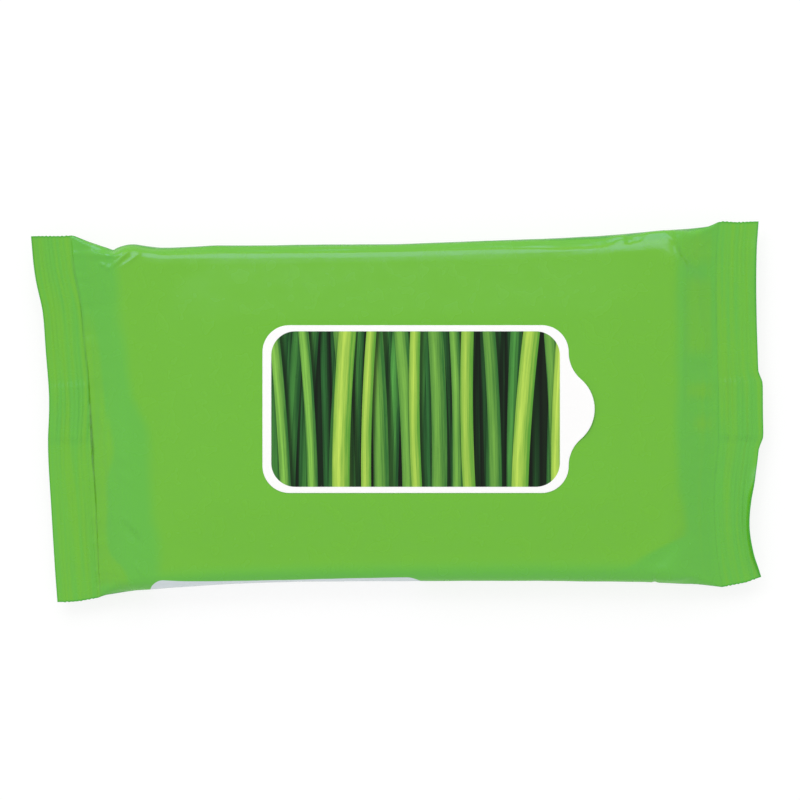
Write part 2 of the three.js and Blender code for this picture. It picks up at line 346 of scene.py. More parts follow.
RIGHT_SEAL = EndSeal(
    end=End.RIGHT,
    bow=SmoothCurve(
        (
            (-1, -0.35), (-0.85, 0.55), (-0.67, 1.13), (-0.5, 1.37), (-0.35, 1.1), (-0.2, 0.5), (0, 0.55),
            (0.2, 0.6), (0.5, 0.93), (0.85, 0.9), (1, 0.5),
        )
    ),
    curl=SmoothCurve(
        ((-1, 1.0), (-0.7, 1.7), (-0.5, 1.5), (-0.36, 0.6), (-0.2, 0), (0.3, 0.15), (0.65, 0.68), (1, 0.4))
    ),
    curl_from=0.75,
    squeeze=SmoothCurve(
        ((-1, 0.01), (-0.7, 0.096), (-0.5, 0.02), (-0.36, 0.004), (-0.2, 0), (0.65, 0), (1, 0))
    ),
    overhang=0.9,
    crease_inset=SmoothCurve(((-1, 0), (1, 0))),
    crease_width=SmoothCurve(((-1, 0.02), (1, 0.02))),
    stitch=1.0,
)

SEAL_TIP = 17.5

TUCKS = (
    Tuck(End.LEFT, Side.HIGH, past=0.5, depth=1.95, to_seal=8, to_middle=5.2, cusp=1.0, rounding=1.9),
    Tuck(End.LEFT, Side.HIGH, past=-9, depth=0.8, to_seal=10, to_middle=12),
    Tuck(End.LEFT, Side.HIGH, past=SEAL_TIP, depth=-0.7, to_seal=1, to_middle=8),
    Tuck(End.RIGHT, Side.HIGH, past=7, depth=0.75, to_seal=3.5, to_middle=11),
    Tuck(End.RIGHT, Side.HIGH, past=SEAL_TIP, depth=-0.5, to_seal=1, to_middle=5),
    Tuck(End.RIGHT, Side.HIGH, past=-57, depth=0.28, to_seal=22, to_middle=20),
    Tuck(End.LEFT, Side.LOW, past=7, depth=0.85, to_seal=9, to_middle=20),
    Tuck(End.LEFT, Side.LOW, past=SEAL_TIP, depth=0.4, to_seal=1, to_middle=5),
    Tuck(End.RIGHT, Side.LOW, past=-20, depth=-0.98, to_seal=35, to_middle=62),
    Tuck(End.RIGHT, Side.LOW, past=SEAL_TIP, depth=0.6, to_seal=1, to_middle=3.5),
)

CREASES = (
    # The pinched corner: a dimple with two thin folds that run from it to the edge.
    Crease(End.LEFT, Side.HIGH, (1.2, -4.0), (-1.3, -1.95), 0.2, 0.62),
    Crease(End.LEFT, Side.HIGH, (-1.0, -2.2), (-2.9, -0.4), 0.2, 0.6),
    Crease(End.LEFT, Side.HIGH, (-0.85, -4.0), (-2.7, -2.8), 0.17, 0.48, Profile.SHARP),
    Crease(End.LEFT, Side.HIGH, (-2.7, -2.8), (-4.8, -1.1), 0.24, 0.62, Profile.SHARP),
    Crease(End.LEFT, Side.HIGH, (-0.3, -3.4), (-3.2, -0.5), -0.1, 1.1),
    Crease(End.LEFT, Side.HIGH, (1.3, -3.2), (1.2, -0.4), -0.25, 1.2),
    Crease(End.LEFT, Side.HIGH, (1.7, -4.0), (1.6, -3.9), 0.34, 0.6),
    Crease(End.LEFT, Side.HIGH, (3.3, -3.0), (2.3, -3.6), 0.22, 0.6, Profile.SHARP),
    Crease(End.LEFT, Side.HIGH, (6.4, 1.2), (2.6, 0.0), 0.15, 0.6, Profile.SHARP),
    # The high right corner: the edge ends in a short fold, and a faint one runs on to the seal.
    Crease(End.RIGHT, Side.HIGH, (-1.1, 0.7), (0.3, -3.9), 0.17, 0.75),
    Crease(End.RIGHT, Side.HIGH, (0.2, 0.5), (1.1, -3.9), -0.2, 1.1),
    Crease(End.RIGHT, Side.HIGH, (0.1, -4.5), (0.3, -4.9), 0.25, 0.6, Profile.SHARP),
    Crease(End.RIGHT, Side.HIGH, (-1.0, -5.3), (-0.8, -5.7), 0.2, 0.6, Profile.SHARP),
    Crease(End.RIGHT, Side.HIGH, (7.6, 0.2), (1.4, -4.9), 0.07, 0.7, Profile.SHARP),
    Crease(End.RIGHT, Side.HIGH, (-2.6, 0.9), (-0.8, -1.0), 0.2, 0.7),
    Crease(End.RIGHT, Side.HIGH, (1.2, -5.2), (1.2, -36), 0.12, 1.0),
    Crease(End.RIGHT, Side.HIGH, (3.4, -7.5), (6.2, -25), 0.1, 1.8, Profile.SHARP),
    Crease(End.RIGHT, Side.HIGH, (3.2, -26.5), (8.4, -27.5), -0.25, 1.6),
    Crease(End.RIGHT, Side.HIGH, (4.0, -30), (8.4, -30.6), 0.25, 1.4),
    Crease(End.RIGHT, Side.HIGH, (4.0, -33.6), (8.4, -34.4), -0.22, 1.5),
    # The low left corner: a fine fold that spreads out towards the edge.
    Crease(End.LEFT, Side.LOW, (-1.2, -14.2), (-5.2, -10.2), 0.36, 0.6, Profile.SHARP),
    Crease(End.LEFT, Side.LOW, (-2.2, -12.2), (-7.9, -5.4), -0.3, 1.3),
    Crease(End.LEFT, Side.LOW, (-4.4, -9.8), (-8.2, -4.8), 0.25, 1.4),
    Crease(End.LEFT, Side.LOW, (-4.2, -4.6), (-5.8, -2.0), 0.25, 0.8),
    Crease(End.LEFT, Side.LOW, (-0.6, -26.8), (-3.2, -24.8), 0.14, 0.9),
    Crease(End.LEFT, Side.LOW, (-0.4, -23.2), (-4.6, -20.4), 0.14, 1.0),
    Crease(End.LEFT, Side.LOW, (3.4, -36), (0.6, -11), 0.2, 1.5, Profile.SHARP, sag=-0.6),
    # The low right corner: a slack fold over the end of the stack.
    Crease(End.RIGHT, Side.LOW, (1.6, -7.5), (-6.5, -0.5), -0.3, 2.6),
    Crease(End.RIGHT, Side.LOW, (-5.2, 0.4), (-4.2, 2.2), -0.25, 0.7),
)

# The ends of the flat stretch that the wipes hold from below, by how far across the pack it is.
HELD_FROM = SmoothCurve(
    (
        (-33.5, -48.8), (-25, -49.0), (-22.5, -49.7), (-16.8, -50.6), (-9.6, -50.8), (-3, -51.4),
        (-0.4, -52.7), (3.3, -54.4), (22.7, -56.9), (33, -57.0),
    )
)
HELD_TO = SmoothCurve(
    (
        (-33.1, 44.0), (-31.5, 48.3), (-30.0, 50.2), (-28.2, 53.5), (-26.9, 56.3), (-25.5, 59.0),
        (-20.8, 58.8), (-14.0, 57.6), (30.0, 57.3),
    )
)
# How far into the pouch the strip beside the left seal lies close.
STRIP_TO = SmoothCurve(
    (
        (-36.0, -54.8), (-32.5, -55.8), (-29.0, -59.0), (-25.0, -59.7), (-20.0, -59.3), (-14.0, -59.3),
        (-9.0, -58.2), (-5.9, -58.4), (3.3, -60.3), (13.5, -61.2), (24.0, -62.2),
    )
)
PATCHES = (
    Patch((62.0, 19.6), (2.5, 7.6), 1.6, 0.8),
    Patch((62.1, 4.2), (2.4, 1.4), 1.3, 0.8),
    Patch((62.9, -2.6), (1.8, 1.4), 1.3, 0.75),
    Patch((61.4, 33.3), (3.5, 3.0), 2.0, 0.7),
)


@dataclass(frozen=True)
class Hold:
    """How closely the film is held by what lies under it, from 0 to 1. Film that stands free is cooler."""

    start: SmoothCurve = HELD_FROM
    start_softness: float = 1.7
    stop: SmoothCurve = HELD_TO
    stop_softness: float = 1.3
    drift: Wander = Wander(0.9, 7.0, 9.0, 11.3)
    low_side: Point = (-2.0, 1.6)
    high_side: Point = (1.2, 2.2)
    high_side_loss: float = 0.5
    strip: SmoothCurve = STRIP_TO
    strip_across: Window = Window((-37, -34), (12, 25))
    strip_softness: float = 0.7
    strip_drift: float = 0.5
    strip_level: float = 0.9
    patches: tuple[Patch, ...] = PATCHES
    back_past: Point = (1.4, 1.6)
    back_softness: float = 2.2
    # The seals hold their films evenly, a little less on the fin, with fine fibres across the pack.
    left_seal: float = 0.62
    right_seal: float = 0.42
    right_slope: float = 0.012
    right_span: Point = (-20, 10)
    fin_loss: float = 0.2
    seal_softness: Point = (0.25, 1.55)
    softer_across: Point = (24, 34)
    fibres: tuple[Wander, ...] = (Wander(1.3, 0.85, 26.0, 14.2), Wander(0.5, 0.4, 12.0, 3.3))
    fibre_gain_on_fin: float = 0.5
    fibre_in_body: float = 0.25
    fibre_body_edge: Point = (-8.5, -4.0)
    fibre_in_seal: float = 0.45
    fibre_seal_edge: Point = (-0.8, 0.4)

    def of_body(self, x: Array, y: Array, web: Array, edge: float) -> Array:
        """Gives the hold of the front between the seals.

        Args:
            x: Places along the pack.
            y: Places across it.
            web: The same places across, round the web of film.
            edge: How far the flat of the front reaches from the middle line.

        Returns:
            The hold at each place.
        """
        uneven = self.drift(x, y)
        held = step_up(x - self.start(y) + uneven, self.start_softness)
        held = held * step_up(self.stop(y) - x + uneven, self.stop_softness)
        held = held * ease(web + edge, *self.low_side)
        held = held * (1 - self.high_side_loss * ease(web - edge, *self.high_side))
        past_strip = step_up(x - self.strip(y) + self.strip_drift * uneven, self.strip_softness)
        held = blend(held, self.strip_level, (1 - past_strip) * self.strip_across(y))
        for patch in self.patches:
            held = blend(held, patch.hold, patch.cover(x, y))
        return held

    def of_seals(self, along: Array, place: Array, on_fin: Array) -> Array:
        """Gives the hold of the seals."""
        right = self.right_seal + self.right_slope * np.clip(place, *self.right_span)
        return np.where(along < 0, self.left_seal, right) - self.fin_loss * on_fin

    def fibre(self, along: Array, place: Array, depth: Array, on_fin: Array) -> Array:
        """Gives what the fine fibres add to the hold.

        Args:
            along: Places along the pack.
            place: Places across the film laid flat.
            depth: How far into a seal they are.
            on_fin: How much of the fin lies under them.

        Returns:
            The change of the hold at each place.
        """
        uneven = sum(fibre(along, place) for fibre in self.fibres) * (1 + self.fibre_gain_on_fin * on_fin)
        body = self.fibre_in_body * ease(depth, *self.fibre_body_edge)
        return uneven * (body + self.fibre_in_seal * ease(depth, *self.fibre_seal_edge))


@dataclass(frozen=True)
class SideFold:
    """The fold just inside the high edge of the front, and the slack film that falls in past it.

    Its places are given along the pack, and outwards from the end of the flat front, round the web.
    """

    line: SmoothCurve = SmoothCurve(
        (
            (-50, 1.5), (-30, 1.5), (-20, 1.42), (8, 1.4), (20, 1.22), (28, 0.98), (33, 0.64), (41.6, 0.6),
            (43.3, 0.9), (45.3, 2.1), (46.8, 2.2), (47.7, 0.8), (48.6, 1.2), (50.1, 1.45), (51.4, 2.6),
        )
    )
    line_drift: Wander = Wander(0.06, 6.0, 1.0, 4.4)
    ledge_depth: float = 0.09
    ledge_width: float = 0.45
    ledge_along: Window = Window((-50, -46), (51, 52.4))
    # Taut film falls in a little and comes back to the side.
    taut_fall: float = 0.28
    taut_across: Point = (-1.3, 1.5)
    taut_end: Point = (2.2, 5.5)
    # Slack film, near the high right corner: how far it falls in, which share of that is left where the fall
    # is short, and where along the edge it is short.
    slack_along: Point = (30, 44)
    slack_fall: SmoothCurve = SmoothCurve(
        ((-1.5, 0), (-1.3, 0.005), (-0.6, 0.05), (0, 0.17), (0.5, 0.28), (1, 0.37), (1.5, 0.41), (6, 0.41))
    )
    slack_left: SmoothCurve = SmoothCurve(((1.5, 1), (2, 0.89), (2.6, 0.49), (3.1, 0.04), (3.6, 0)))
    slack_short: SmoothCurve = SmoothCurve(
        (
            (43.3, 0), (45.3, 0.8), (46.8, 0.8), (47.7, 0.1), (48.6, 0.35), (50.1, 0.4), (51.6, 1),
            (57, 1), (58.6, 0.4),
        )
    )
    short_along: Point = (42, 44)
    late_along: Point = (54.5, 57.8)
    late_shift: float = 1.6
    deep_fall: float = 0.32
    deep_along: Point = (28, 36)
    deep_rate: float = 0.9
    fall_along: Window = Window((-56, -51), (57.2, 58.6))
    fall_loss: float = 0.3
    loss_along: Point = (54, 57)
    # Broken streaks in the slack film.
    streak: Wander = Wander(1.0, 0.75, 2.4, 6.3)
    streak_lean: float = 0.25
    streak_along: Window = Window((33, 37), (50, 52))
    streak_across: Window = Window((-1.0, 0.3), (2.0, 3.2))
    streak_height: float = 0.075
    streak_bite: float = 0.5
    # Fine lines outside the fold.
    lines: Wander = Wander(0.06, 7.0, 0.42, 9.1)
    lines_along: Window = Window((-54, -50), (44, 50))
    lines_across: Window = Window((1.6, 2.1), (3.6, 4.6))
    # The film that stands up towards the high right corner.
    corner_height: float = 0.7
    corner_skew: float = 0.36
    corner_along: Point = (52, 58.6)
    corner_across: Window = Window((-12, -3.4), (-3.2, 0.9))
    corner_stop: float = 57.3
    corner_fade: float = 0.7
    corner_spread: float = 1.1
    corner_spread_from: float = -0.8

    def height(self, along: Array, out: Array) -> Array:
        """Gives how far the film stands out, which is below 0 where it falls in.

        Args:
            along: Places along the pack.
            out: Places outwards from the end of the flat front.

        Returns:
            The distance outwards at each place.
        """
        fold = self.line(along) + self.line_drift(along, 0 * along)
        past = np.maximum(out - fold, 0) / self.ledge_width
        ledge = self.ledge_depth * past * np.exp(1 - past) * self.ledge_along(along)
        torn = self.streak_along(along) * self.streak_across(out)
        streaks = torn * self.streak(along + self.streak_lean * out, out)
        short = np.clip(self.slack_short(along) + self.streak_bite * streaks, 0, 1)
        fall = self._fall(along, out, past, short * ease(along, *self.short_along))
        lines = self.lines_along(along) * self.lines_across(out) * self.lines(along, out)
        return lines + self._corner(along, out) + self.streak_height * streaks - ledge - fall

    def _fall(self, along: Array, out: Array, past: Array, short: Array) -> Array:
        """Gives how far the film falls in.

        Args:
            along: Places along the pack.
            out: Places outwards from the end of the flat front.
            past: How far past the fold they are, in widths of the ledge.
            short: How short the fall is there, from 0 to 1.

        Returns:
            The distance inwards at each place.
        """
        taut = self.taut_fall * ease(out, *self.taut_across)
        slack = self.slack_fall(out + self.late_shift * ease(along, *self.late_along))
        fall = blend(taut, slack, ease(along, *self.slack_along))
        deeper = self.deep_fall * ease(along, *self.deep_along) * (1 - short)
        fall = fall + deeper * (1 - np.exp(-self.deep_rate * past))
        left = blend(1 - ease(out, *self.taut_end), self.slack_left(out), short)
        return fall * left * self.fall_along(along) * (1 - self.fall_loss * ease(along, *self.loss_along))

    def _corner(self, along: Array, out: Array) -> Array:
        """Gives how far the film stands up towards the high right corner.

        Args:
            along: Places along the pack.
            out: Places outwards from the end of the flat front.

        Returns:
            The distance at each place.
        """
        skewed = along + self.corner_skew * out
        width = self.corner_fade + self.corner_spread * np.maximum(self.corner_spread_from - out, 0)
        fade = ease((skewed - self.corner_stop) / width, 0, 1)
        return self.corner_height * ease(skewed, *self.corner_along) * (1 - fade) * self.corner_across(out)


@dataclass(frozen=True)
class Film:
    """The film before its relief, station by line: its points, and where on the web each lies."""

    points: Array
    along: Array
    place: Array
    web: Array
    on_front: Array
    on_back: Array


@dataclass
class FilmPouch:
    """The green film pouch: one web of film round the stack, with a fin along its back and two end seals."""

    node: str = "film_pouch"
    slot: str = "green_film"
    length: float = 150.0
    waist_width: float = 69.2
    waist_power: int = 4
    side_height: float = 8.6
    crown_height: float = 1.4
    crown_fall: tuple[float, float, float] = (0.1, 0.95, 0.1)
    corner_radius: float = 3.0
    shoulder_length: float = 9.1
    shoulder_radius: float = 1.7
    slant: float = 0.0225
    seal_depth: float = 8.4
    seal_thickness: float = 0.3
    rib_pitch: float = 0.85
    rib_height: float = 0.055
    rib_fullness: float = 0.75
    rib_variation: Wander = Wander(0.9, 1.3, 9.0, 8.7)
    rib_drift: Wander = Wander(0.35, 5.0, 12.0, 3.1)
    rib_loss: float = 0.6
    rib_loss_turn: Point = (0.3, 1.0)
    rib_gain_on_fin: float = 0.4
    inner_margin: float = 0.5
    outer_margin: float = 1.05
    fin_width: float = 11.4
    fin_thickness: float = 0.36
    fin_gap: float = 0.3
    least_gap: float = 0.02
    fin_lead: float = 4.5
    fin_step: float = 0.5
    fin_bulge: float = 0.12
    fin_flare: float = 2.4
    stitch_height: float = 0.13
    stitch_width: float = 0.3
    rim: float = 0.08
    scallop: float = 0.08
    scallop_reach: float = 1.6
    bow_reach: float = 30.0
    bow_power: float = 1.5
    tuck_spread: float = 5.0
    merge_within: float = 1e-3
    least_edge: float = 1e-4
    label_field: tuple[float, float, float, float] = (3.9, 0.4, 38.5, 17.7)
    shift: Point = (0.0, 0.0)
    seals: tuple[EndSeal, EndSeal] = (LEFT_SEAL, RIGHT_SEAL)
    tucks: tuple[Tuck, ...] = TUCKS
    creases: tuple[Crease, ...] = CREASES
    side_fold: SideFold = SideFold()
    hold: Hold = Hold()
    # The relief: where it starts at a seal, how far it runs on round the edge, its swells and its ripples.
    body_edge: Point = (-0.2, 1.0)
    edge_margin: float = 3.0
    fin_margin: Point = (1.0, 5.0)
    swells: tuple[Wander, ...] = (Wander(0.16, 26.0, 19.0, 1.7), Wander(0.05, 9.0, 8.0, 5.2))
    swell_fade: Point = (12.0, 9.0)
    ripples: tuple[Wander, ...] = (Wander(1.0, 15.0, 1.7, 2.3), Wander(0.6, 5.0, 2.2, 7.9))
    ripple_heights: Point = (0.07, 0.17)
    ripple_across: Point = (2.5, 7.5)
    ripple_along: Point = (-22.0, 0.0)
    ripple_fade: float = 6.0
    pleat_start: Point = (-0.8, 0.5)
    groove_lip: float = 0.12
    groove_depth: float = 0.4
    # Painted shade: deeper green at the sides and cut ends; painted shadow: duller green in the seal creases.
    edge_shade_low_side: float = 1.2
    edge_shade_high_side: float = 1.9
    edge_shade_softness: float = 0.8
    edge_shade_at_seal: Point = (0.05, 0.4)
    edge_shade_cut_edge: Point = (-0.4, -0.1)
    crease_shadow_width: Point = (0.1, 0.2)
    crease_shadow_gain: tuple[Point, Point] = ((0.45, 0.7), (1.3, 2.0))
    crease_shadow_strength: tuple[Point, Point] = ((0.38, 0.55), (0.45, 1.0))
    pleats: dict[tuple[End, bool], list[Pleat]] = field(default_factory=dict)

    def __post_init__(self) -> None:
        """Draws the tension lines of each end, on the front and on the back."""
        for end in End:
            for on_front in (True, False):
                self.pleats[(end, on_front)] = self._draw_pleats(end, on_front)

    @property
    def film_edge(self) -> float:
        """Half the width of the film laid flat."""
        width = self.waist_width + self.side_height - (4 - math.pi) * self.corner_radius
        return width / 2

    @property
    def face_edge(self) -> float:
        """How far the flat of the front reaches from the middle line."""
        return self.waist_width / 2 - self.corner_radius

    @property
    def fin_edge(self) -> float:
        """Half the width of the fin."""
        return self.fin_width / 2

    @property
    def front_height(self) -> float:
        """How high the front lies under the label."""
        return self.side_height + self.crown_height

    @property
    def seal_start(self) -> float:
        """Where the end seals begin, from the middle of the pack."""
        return self.length / 2 - self.seal_depth

    @property
    def stack_end(self) -> float:
        """Where the stack inside ends, from the middle of the pack."""
        return self.seal_start - self.shoulder_length

    @property
    def rib_count(self) -> int:
        """How many crimped ribs a seal has."""
        return math.floor((self.seal_depth - self.inner_margin - self.outer_margin) / self.rib_pitch)

    def _draw_pleats(self, end: End, on_front: bool) -> list[Pleat]:
        """Draws the tension lines that run out of one seal, on one face of the pouch.

        Args:
            end: The end of the pack.
            on_front: Whether it is the front or the back.

        Returns:
            The lines.
        """
        draw = random.Random(f"pleats {end.name} {on_front}")
        count = 17
        spacing = 2 * (self.film_edge - self.edge_margin) / (count - 1)
        pleats = []
        for i in range(count):
            place = (i - (count - 1) / 2) * spacing + draw.uniform(-0.35, 0.35) * spacing
            pleats.append(
                Pleat(
                    place=place,
                    height=draw.choice((-1, 1)) * draw.uniform(0.05, 0.17),
                    width=draw.uniform(0.5, 1.0),
                    reach=draw.uniform(2.2, 5.5),
                    lean=-0.12 * place / self.film_edge + draw.uniform(-0.1, 0.1),
                    fan=draw.uniform(0.05, 0.14),
                )
            )
        return pleats

    def _columns(self) -> tuple[Array, list[Layer], Array, Array]:
        """Lists the lines along the film on its way round, from the high side over the front and back.

        Returns:
            Their places across the film laid flat, their layers, whether the film after each lies in the slot
            of the fin, and how far each lies round the web from the middle of the front.
        """
        outer = 25.0
        fold_from, fold_to = 30.4, 35.2
        step = self.fin_edge + self.fin_step
        fold = self.fin_edge - self.fin_thickness
        lead = self.fin_edge + self.fin_lead

        def run(start: float, stop: float, pitch: float) -> list[float]:
            """Lists evenly spaced places, the last left out."""
            count = max(1, round(abs(stop - start) / pitch))
            return list(np.linspace(start, stop, count + 1)[:-1])

        finest, fine, middle, back_fine, back_middle, in_fin = 0.2, 0.36, 0.8, 0.62, 1.4, 1.15
        rim = self.film_edge - self.rim
        front = [
            self.film_edge,
            *run(rim, fold_to, fine),
            *run(fold_to, fold_from, finest),
            *run(fold_from, outer, fine),
            *run(outer, step, middle),
            *run(step, self.fin_edge, self.fin_step),
            *run(self.fin_edge, -self.fin_edge, middle),
            *run(-self.fin_edge, -step, self.fin_step),
            *run(-step, -outer, middle),
            *run(-outer, -fold_from, fine),
            *run(-fold_from, -fold_to, finest),
            *run(-fold_to, -rim, fine),
            -rim,
        ]
        to_fin = [
            -self.film_edge,
            *run(-rim, -outer, back_fine),
            *run(-outer, -lead, back_middle),
            *run(-lead, -self.fin_edge, in_fin / 2),
        ]
        slot = [*run(-self.fin_edge, fold, in_fin), fold]
        fin = [*run(-self.fin_edge, self.fin_edge, in_fin), self.fin_edge]
        from_fin = [
            *run(step, outer, back_middle),
            *run(outer, rim, back_fine),
            rim,
            self.film_edge,
        ]
        parts = (
            (Layer.FRONT, front, False),
            (Layer.BACK, to_fin, False),
            (Layer.BACK, slot, True),
            (Layer.FIN_INSIDE, slot[:0:-1], True),
            (Layer.FIN_INSIDE, [-self.fin_edge], False),
            (Layer.FIN_OUTSIDE, fin, False),
            (Layer.BACK, from_fin, False),
        )
        places = np.array([place for _, run_of, _ in parts for place in run_of])
        layers = [layer for layer, run_of, _ in parts for _ in run_of]
        in_slot = np.array([inside for _, run_of, inside in parts for _ in run_of])
        on_front = np.array([layer is Layer.FRONT for layer in layers])
        web = np.where(on_front, places, -2 * self.film_edge - places)
        return places, layers, in_slot, web

    def _stations(self) -> Array:
        """Lists the cuts across the pack, close together at the shoulders and closer on the ribs.

        Returns:
            Their places along the pack.
        """
        rib_start = self.seal_start + self.inner_margin
        rib_end = rib_start + self.rib_count * self.rib_pitch
        cut_edge = self.seal_start + self.seal_depth
        stretches = (
            (0.0, 24), (30.0, 43),
            (self.stack_end - 6.0, 49),
            (self.seal_start - 1.6, 13),
            (self.seal_start, 3),
            (rib_start, 6 * self.rib_count),
            (rib_end, 3),
            (cut_edge, 0),
        )
        evenly = [
            np.linspace(start, stop, steps + 1)[:-1]
            for (start, steps), (stop, _) in zip(stretches, stretches[1:])
        ]
        outwards = np.concatenate((*evenly, [cut_edge]))
        return np.concatenate((-outwards[:0:-1], outwards))

    def _section(self, along: Array) -> dict[str, Array]:
        """Gives the pouch in section at each place along it.

        Args:
            along: Places along the pack.

        Returns:
            How far it is flattened towards the seal, half its width, its lowest and highest film, and the
            radius of its edges.
        """
        distance = np.abs(along)
        flat = rounded_ramp(distance, self.stack_end, self.seal_start, self.shoulder_radius)
        seal_height = self.side_height / 2
        widening = np.minimum(distance / self.seal_start, 1) ** self.waist_power
        half = blend(self.waist_width / 2, self.film_edge, widening)
        low = blend(0.0, seal_height - self.seal_thickness / 2, flat)
        high = blend(self.side_height, seal_height + self.seal_thickness / 2, flat)
        radius = np.minimum(self.corner_radius, (high - low) / 2)
        return {"flat": flat, "half": half, "low": low, "high": high, "radius": radius}

    def _outline(self, section: dict[str, Array], place: Array) -> tuple[Array, Array]:
        """Gives where film lies in section: its place across the pack, and its distance from mid-height.

        Args:
            section: The pouch in section at each place along it.
            place: Places across the film laid flat.

        Returns:
            Both, for each place.
        """
        half, radius = section["half"], section["radius"]
        wall = (section["high"] - section["low"]) / 2 - radius
        arc = (math.pi / 2) * radius
        stretch = (half - radius + wall + arc) / self.film_edge
        run = (self.film_edge - np.abs(place)) * stretch
        turn = np.clip((run - wall) / radius, 0, math.pi / 2)
        on_face = np.maximum(run - wall - arc, 0)
        across = half - radius + radius * np.cos(turn) - on_face
        up = np.minimum(run, wall) + radius * np.sin(turn)
        return np.where(place < 0, -across, across), up

    def _crown(self, along: Array, across: Array) -> Array:
        """Gives how far the front stands above its sides: flat under the label, and falling away round it.

        Args:
            along: Places along the pack.
            across: Places across it.

        Returns:
            The height at each place.
        """
        centre_x, centre_y, field_x, field_y = self.label_field
        room_x = self.stack_end - abs(centre_x) - field_x
        room_y = self.face_edge - abs(centre_y) - field_y
        past_x = np.maximum(np.abs(along - centre_x) - field_x, 0) / room_x
        past_y = np.maximum(np.abs(across - centre_y) - field_y, 0) / room_y
        return self.crown_height * (1 - rounded_ramp(np.hypot(past_x, past_y), *self.crown_fall))

    def _tuck(self, along: Array, across: Array, half: Array) -> Array:
        """Gives how far the sides are moved across the pack by the tucks.

        Args:
            along: Places along the pack.
            across: Places across it.
            half: Half the pouch's width there.

        Returns:
            The shift at each place.
        """
        moved = np.zeros_like(along * across)
        for tuck in self.tucks:
            distance = tuck.end * along - self.stack_end - tuck.past
            near = np.maximum(0, 1 - np.abs(distance) / np.where(distance > 0, tuck.to_seal, tuck.to_middle))
            pointed = np.where(distance > 0, near, near**tuck.rounding)
            rounded = blend(ease(near, 0, 1), pointed, tuck.cusp)
            spread = np.clip(1 - (half - tuck.side * across) / self.tuck_spread, 0, 1)
            moved -= tuck.side * tuck.depth * rounded * spread
        return moved

    def _slant_at(self, along: Array | float, share: Array) -> Array:
        """Gives how far the sides are shifted by the slant of the pack."""
        return self.slant * along * np.abs(share)

    def _slot_at(self, along: Array) -> Array:
        """Gives how wide the slot behind the fin stands open. It shuts before the shoulders.

        Args:
            along: Places along the pack.

        Returns:
            The width of the slot at each place.
        """
        shut = self.stack_end - self.shoulder_radius
        opened = 1 - ease(np.abs(along), self.stack_end - self.fin_edge, shut)
        return np.where(opened < self.least_gap, 0, self.fin_gap * opened)

    def _lift(self, along: Array, place: Array, layer: Layer, flat: Array) -> Array:
        """Gives how far a layer on the back lies above the lowest film of its section.

        Args:
            along: Places along the pack.
            place: Places across the film laid flat.
            layer: The layer.
            flat: How far the pouch is flattened there.

        Returns:
            The height at each place.
        """
        if layer is Layer.FIN_OUTSIDE:
            return -self.fin_thickness * flat
        if layer is Layer.FIN_INSIDE:
            return self.fin_thickness * (1 - flat)
        onto_fin = ease(place, -self.fin_edge - self.fin_lead, -self.fin_edge)
        over_fin = np.where(place > self.fin_edge, 0, onto_fin)
        return over_fin * (self.fin_thickness * (1 - flat) + self._slot_at(along))

    def _rib(self, depth: Array, place: Array) -> Array:
        """Gives the height of the crimped ribs of a seal, which differ a little from place to place.

        Args:
            depth: Places into the seal.
            place: Places across the film laid flat.

        Returns:
            The height at each place.
        """
        in_band = (depth - self.inner_margin) / self.rib_pitch
        inside = (in_band > 0) & (in_band < self.rib_count)
        wave = -np.cos(2 * math.pi * (in_band + self.rib_drift(depth, place)))
        fullness = self.rib_fullness + self.rib_variation(depth, place)
        ends = np.clip(np.minimum(in_band, self.rib_count - in_band) * 2, 0, 1)
        return np.where(inside, self.rib_height * wave * fullness * ends, 0)

    def _inner_edge(self, seal: EndSeal, place: Array) -> tuple[Array, Array]:
        """Gives where the inner edge of a seal runs in plan.

        Args:
            seal: The seal.
            place: Places across the film laid flat.

        Returns:
            Its places along the pack and across it.
        """
        along = seal.end * self.seal_start
        share = place / self.film_edge
        return along - seal.end * seal.bow(share), place + self._slant_at(along, share)

    def _seal_points(self, seal: EndSeal, depth: Array, place: Array, layer: Layer) -> Array:
        """Gives the points of an end seal: a band bowed in plan, curled up and ribbed.

        Args:
            seal: Which seal it is.
            depth: How far into the seal, from its inner edge.
            place: Where across the film laid flat.
            layer: Which layer of film.

        Returns:
            The points, in millimetres.
        """
        above_x, above_y = self._inner_edge(seal, np.minimum(place + 1, self.film_edge))
        below_x, below_y = self._inner_edge(seal, np.maximum(place - 1, -self.film_edge))
        tangent_x, tangent_y = above_x - below_x, above_y - below_y
        size = np.hypot(tangent_x, tangent_y)
        outward_x, outward_y = seal.end * tangent_y / size, -seal.end * tangent_x / size

        from_middle = np.abs(place)
        share = place / self.film_edge
        curl = seal.curl(share)
        curl = np.where(np.abs(curl) < LEAST_CURL, LEAST_CURL, curl)
        flat = seal.curl_from * self.seal_depth
        radius = (self.seal_depth - flat) / curl
        turn = np.maximum(depth - flat, 0) / radius
        out = np.minimum(depth, flat) * (1 - seal.squeeze(share)) + radius * np.sin(turn)
        up = radius * (1 - np.cos(turn))

        rib = self._rib(depth, place)
        fullness = rib / self.rib_height
        on_fin = 1 - ease(from_middle, self.fin_edge, self.fin_edge + self.fin_step)
        on_edge = from_middle >= self.film_edge - TINY
        face = (1 if layer is Layer.FRONT else -1) * self.seal_thickness / 2
        rib = rib * (1 - self.rib_loss * ease(np.abs(turn), *self.rib_loss_turn))
        offset = rib * (1 + self.rib_gain_on_fin * on_fin) + np.where(on_edge, 0, face)
        if layer is Layer.FRONT:
            at_step = np.exp(-(((from_middle - self.fin_edge) / self.stitch_width) ** 2))
            stitches = self.stitch_height * seal.stitch * at_step * np.maximum(fullness, 0) ** 2
            offset = offset + (self.fin_bulge * on_fin + stitches) * ease(depth, 0, self.inner_margin)
        if layer is Layer.FIN_OUTSIDE:
            offset = offset - self.fin_thickness

